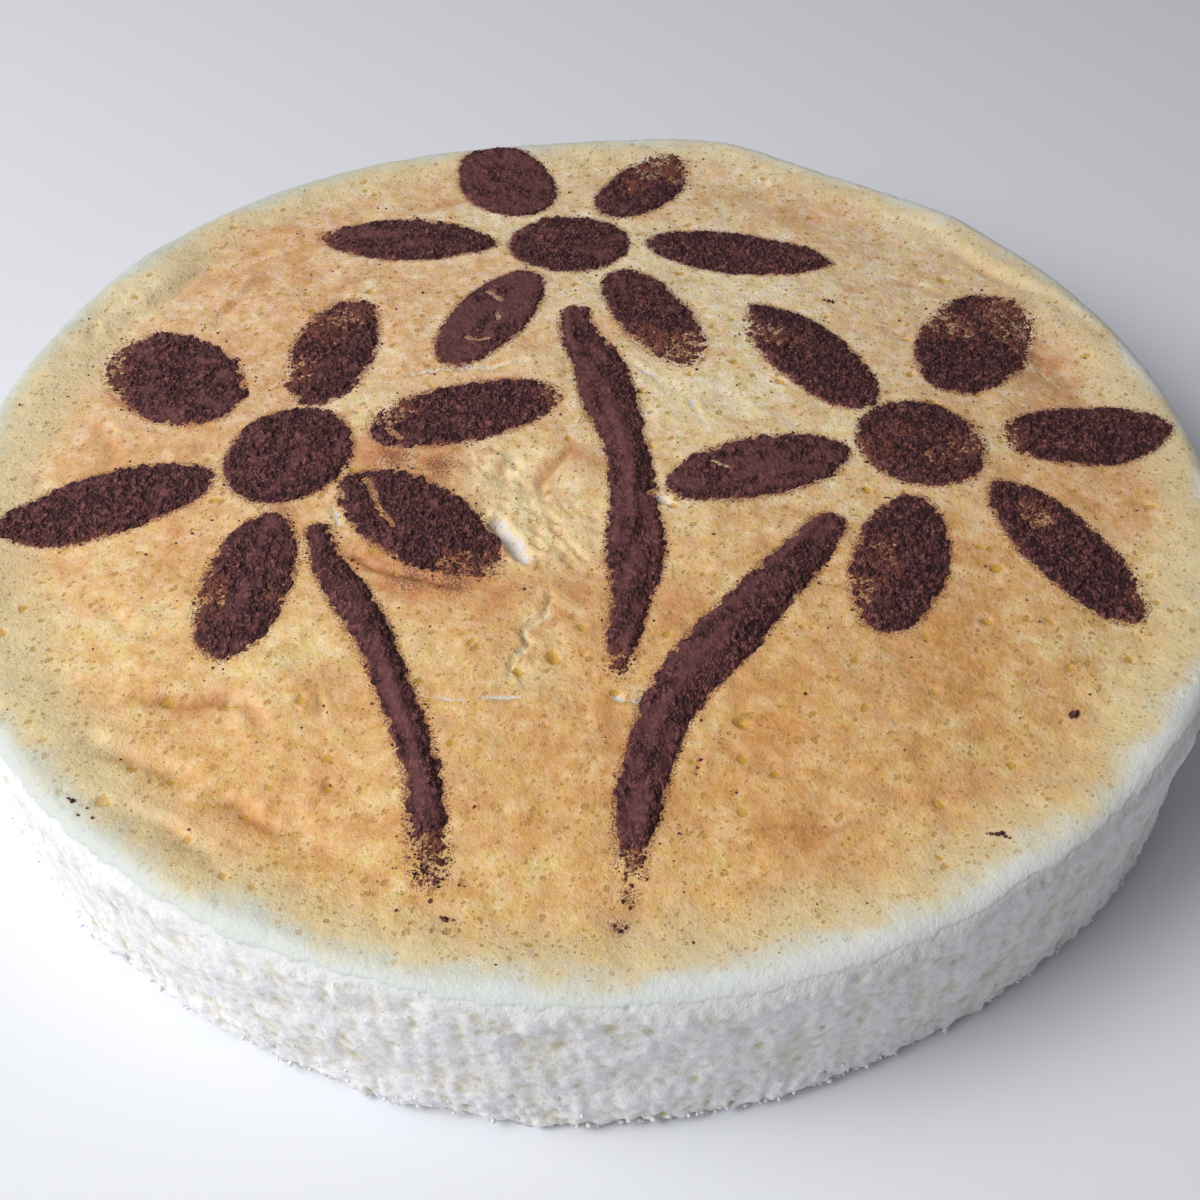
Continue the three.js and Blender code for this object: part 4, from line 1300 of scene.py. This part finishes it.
class CAKE_OT_crust(bpy.types.Operator):
    """Bake the crust with its dome, lip, folds, tears and pores"""

    bl_idname = "cake.crust"
    bl_label = "Crust"

    def execute(self, context):
        sizes = context.scene.cake_sizes
        material = crust_material(context.scene.cake_colours)
        crust_piece(Surface(sizes), sizes.crust_step / MM, material)
        return {"FINISHED"}


class CAKE_OT_sponge(bpy.types.Operator):
    """Make the torn side and the underside"""

    bl_idname = "cake.sponge"
    bl_label = "Sponge"

    def execute(self, context):
        sizes = context.scene.cake_sizes
        material = sponge_material(context.scene.cake_colours)
        sponge_piece(Surface(sizes), sizes.sponge_step / MM, material)
        return {"FINISHED"}


class CAKE_OT_powder(bpy.types.Operator):
    """Dust the daisies and stems in cocoa"""

    bl_idname = "cake.powder"
    bl_label = "Cocoa daisies"

    def execute(self, context):
        sizes = context.scene.cake_sizes
        surface = Surface(sizes)
        material = cocoa_material(context.scene.cake_colours)
        for patch in cocoa_patches():
            powder_piece(surface, patch, sizes.powder_step / MM, material)
        return {"FINISHED"}


class CAKE_OT_grains(bpy.types.Operator):
    """Scatter loose grains of cocoa beside the daisies"""

    bl_idname = "cake.grains"
    bl_label = "Loose grains"

    def execute(self, context):
        sizes = context.scene.cake_sizes
        surface = Surface(sizes)
        rng = np.random.default_rng(7)
        found = []
        for patch in cocoa_patches():
            x0, y0, x1, y1 = patch.box
            tries = int(sizes.grain_density * (x1 - x0 + 8) * (y1 - y0 + 8))
            x, y = rng.uniform(x0 - 4, x1 + 4, tries), rng.uniform(y0 - 4, y1 + 4, tries)
            margin, bare = patch.margin(x, y), patch.bareness(x, y)
            # Most grains lie close to the edge, a few further out, and some on the bare spots.
            clumped = blend_step(layered(flat_points(x, y), 4.5, 121, 2), -0.35, 0.6)
            beside = 0.16 * clumped * np.exp(np.minimum(margin, 0) / (0.15 + 0.5 * patch.fuzz))
            beside += 0.02 * clumped * patch.fuzz * np.exp(np.minimum(margin, 0) / 2.5)
            chance = np.where(margin < 0.5, beside, 0.8 * bare * (margin > 0))
            kept = (rng.random(tries) < chance) & (surface.reach(x, y) < 0.95)
            found.append(np.column_stack([x[kept], y[kept]]))
        stray = rng.uniform(-surface.radius, surface.radius, (400, 2))
        found.append(stray[surface.reach(stray[:, 0], stray[:, 1]) < 0.96])
        x, y = np.concatenate(found).T
        grain = 0.10 + 0.26 * rng.random(len(x)) ** 2.2
        x, y, grain = np.concatenate([np.column_stack([x, y, grain]), DARK_CRUMBS]).T
        places = np.column_stack([x, y, surface.dressed(x, y) + 0.3 * grain])
        material = bpy.data.materials["Cocoa powder"]
        values = {"heap": 0.8, "thin": 0.25}
        scattered_piece("loose_cocoa", places, grain, material, rng, values=values)
        return {"FINISHED"}


class CAKE_OT_crumbs(bpy.types.Operator):
    """Scatter crumbs on the side and round the foot"""

    bl_idname = "cake.crumbs"
    bl_label = "Crumbs"

    def execute(self, context):
        sizes = context.scene.cake_sizes
        surface = Surface(sizes)
        rng = np.random.default_rng(11)
        count = sizes.crumbs
        turn = rng.uniform(0, math.tau, count)
        # Some crumbs lie round the foot, some under the lip and the rest all over the side.
        where = rng.random(count)
        low, under_lip = where < 0.3, where > 0.8
        height = np.where(low, 0.9 + 2.5 * rng.random(count) ** 2, rng.uniform(1.5, 35, count))
        height = np.where(under_lip, rng.uniform(34, 37.5, count), height)
        relief, _ = sponge_relief(surface, turn, height)
        crumb = np.where(low, rng.uniform(0.2, 0.55, count), rng.uniform(0.15, 0.35, count))
        radius = surface.outline(turn) + relief - 0.75 - 0.9 * (height < 2)
        places = np.column_stack([*on_circle(radius, turn), np.maximum(height, 1.8 * crumb)])
        material = bpy.data.materials["Torn sponge"]
        scattered_piece("side_crumbs", places, crumb, material, rng, 1, 0.3)
        return {"FINISHED"}


class CAKE_OT_stage(bpy.types.Operator):
    """Set the floor, the light and the camera"""

    bl_idname = "cake.stage"
    bl_label = "Stage"

    def execute(self, context):
        scene = context.scene
        stage = scene.cake_stage
        bpy.ops.mesh.primitive_plane_add(size=8.0)
        floor = context.active_object
        floor.name = "floor"
        floor.data.materials.append(floor_material(scene.cake_colours))
        self.add_light("window_light", (-0.764, -0.205, 0.848), stage.key_power)
        self.add_light("front_light", (-0.696, -0.435, 0.820), stage.fill_power)
        scene.world = bpy.data.worlds.new("Studio")
        scene.world.use_nodes = True
        background = scene.world.node_tree.nodes["Background"]
        background.inputs["Color"].default_value = ROOM_TINT
        background.inputs["Strength"].default_value = stage.sky
        scene.view_settings.view_transform = "Standard"
        self.add_camera(scene, stage)
        return {"FINISHED"}

    def add_light(self, name, place, watts):
        """A soft round light that looks at the cake."""
        light = bpy.data.lights.new(name, "AREA")
        light.shape, light.size = "DISK", LAMP_SIZE
        light.energy, light.color = watts, LAMP_TINT
        lamp = bpy.data.objects.new(name, light)
        lamp.location = place
        lamp.rotation_euler = (-Vector(place)).to_track_quat("-Z", "Y").to_euler()
        bpy.context.scene.collection.objects.link(lamp)

    def add_camera(self, scene, stage):
        data = bpy.data.cameras.new("camera")
        data.sensor_width, data.lens = 36.0, stage.lens
        data.clip_start, data.clip_end = 0.01, 20
        across, forward = math.sin(stage.yaw), math.cos(stage.yaw)
        level, down = math.cos(stage.pitch), math.sin(stage.pitch)
        ahead = Vector((across * level, forward * level, -down))
        right = Vector((math.cos(stage.yaw), -math.sin(stage.yaw), 0))
        up = right.cross(ahead)
        turned_right = math.cos(stage.roll) * right + math.sin(stage.roll) * up
        turned_up = math.cos(stage.roll) * up - math.sin(stage.roll) * right
        camera = bpy.data.objects.new("camera", data)
        axes = Matrix((turned_right, turned_up, -ahead)).transposed()
        place = Matrix.Translation((0, -stage.camera_back, stage.camera_height))
        camera.matrix_world = place @ axes.to_4x4()
        scene.collection.objects.link(camera)
        scene.camera = camera


class CAKE_PT_panel(bpy.types.Panel):
    """The cake's steps, in the order in which they are made"""

    bl_idname = "CAKE_PT_panel"
    bl_label = "Cloud cake"
    bl_space_type = "VIEW_3D"
    bl_region_type = "UI"
    bl_category = "Cake"

    def draw(self, context):
        scene = context.scene
        for settings in (scene.cake_sizes, scene.cake_colours, scene.cake_stage):
            box = self.layout.box()
            for key in settings.__annotations__:
                box.prop(settings, key)
        for step in STEPS:
            self.layout.operator(step.bl_idname)


STEPS = (
    CAKE_OT_crust, CAKE_OT_sponge, CAKE_OT_powder, CAKE_OT_grains, CAKE_OT_crumbs, CAKE_OT_stage,
)
CLASSES = (CakeSizes, CakeColours, CakeStage, *STEPS, CAKE_PT_panel)


def register():
    for cls in CLASSES:
        bpy.utils.register_class(cls)
    bpy.types.Scene.cake_sizes = PointerProperty(type=CakeSizes)
    bpy.types.Scene.cake_colours = PointerProperty(type=CakeColours)
    bpy.types.Scene.cake_stage = PointerProperty(type=CakeStage)


def unregister():
    del bpy.types.Scene.cake_stage, bpy.types.Scene.cake_colours, bpy.types.Scene.cake_sizes
    for cls in reversed(CLASSES):
        bpy.utils.unregister_class(cls)


def main():
    register()
    bpy.ops.cake.crust()
    bpy.ops.cake.sponge()
    bpy.ops.cake.powder()
    bpy.ops.cake.grains()
    bpy.ops.cake.crumbs()
    bpy.ops.cake.stage()


if __name__ == "__main__":
    main()
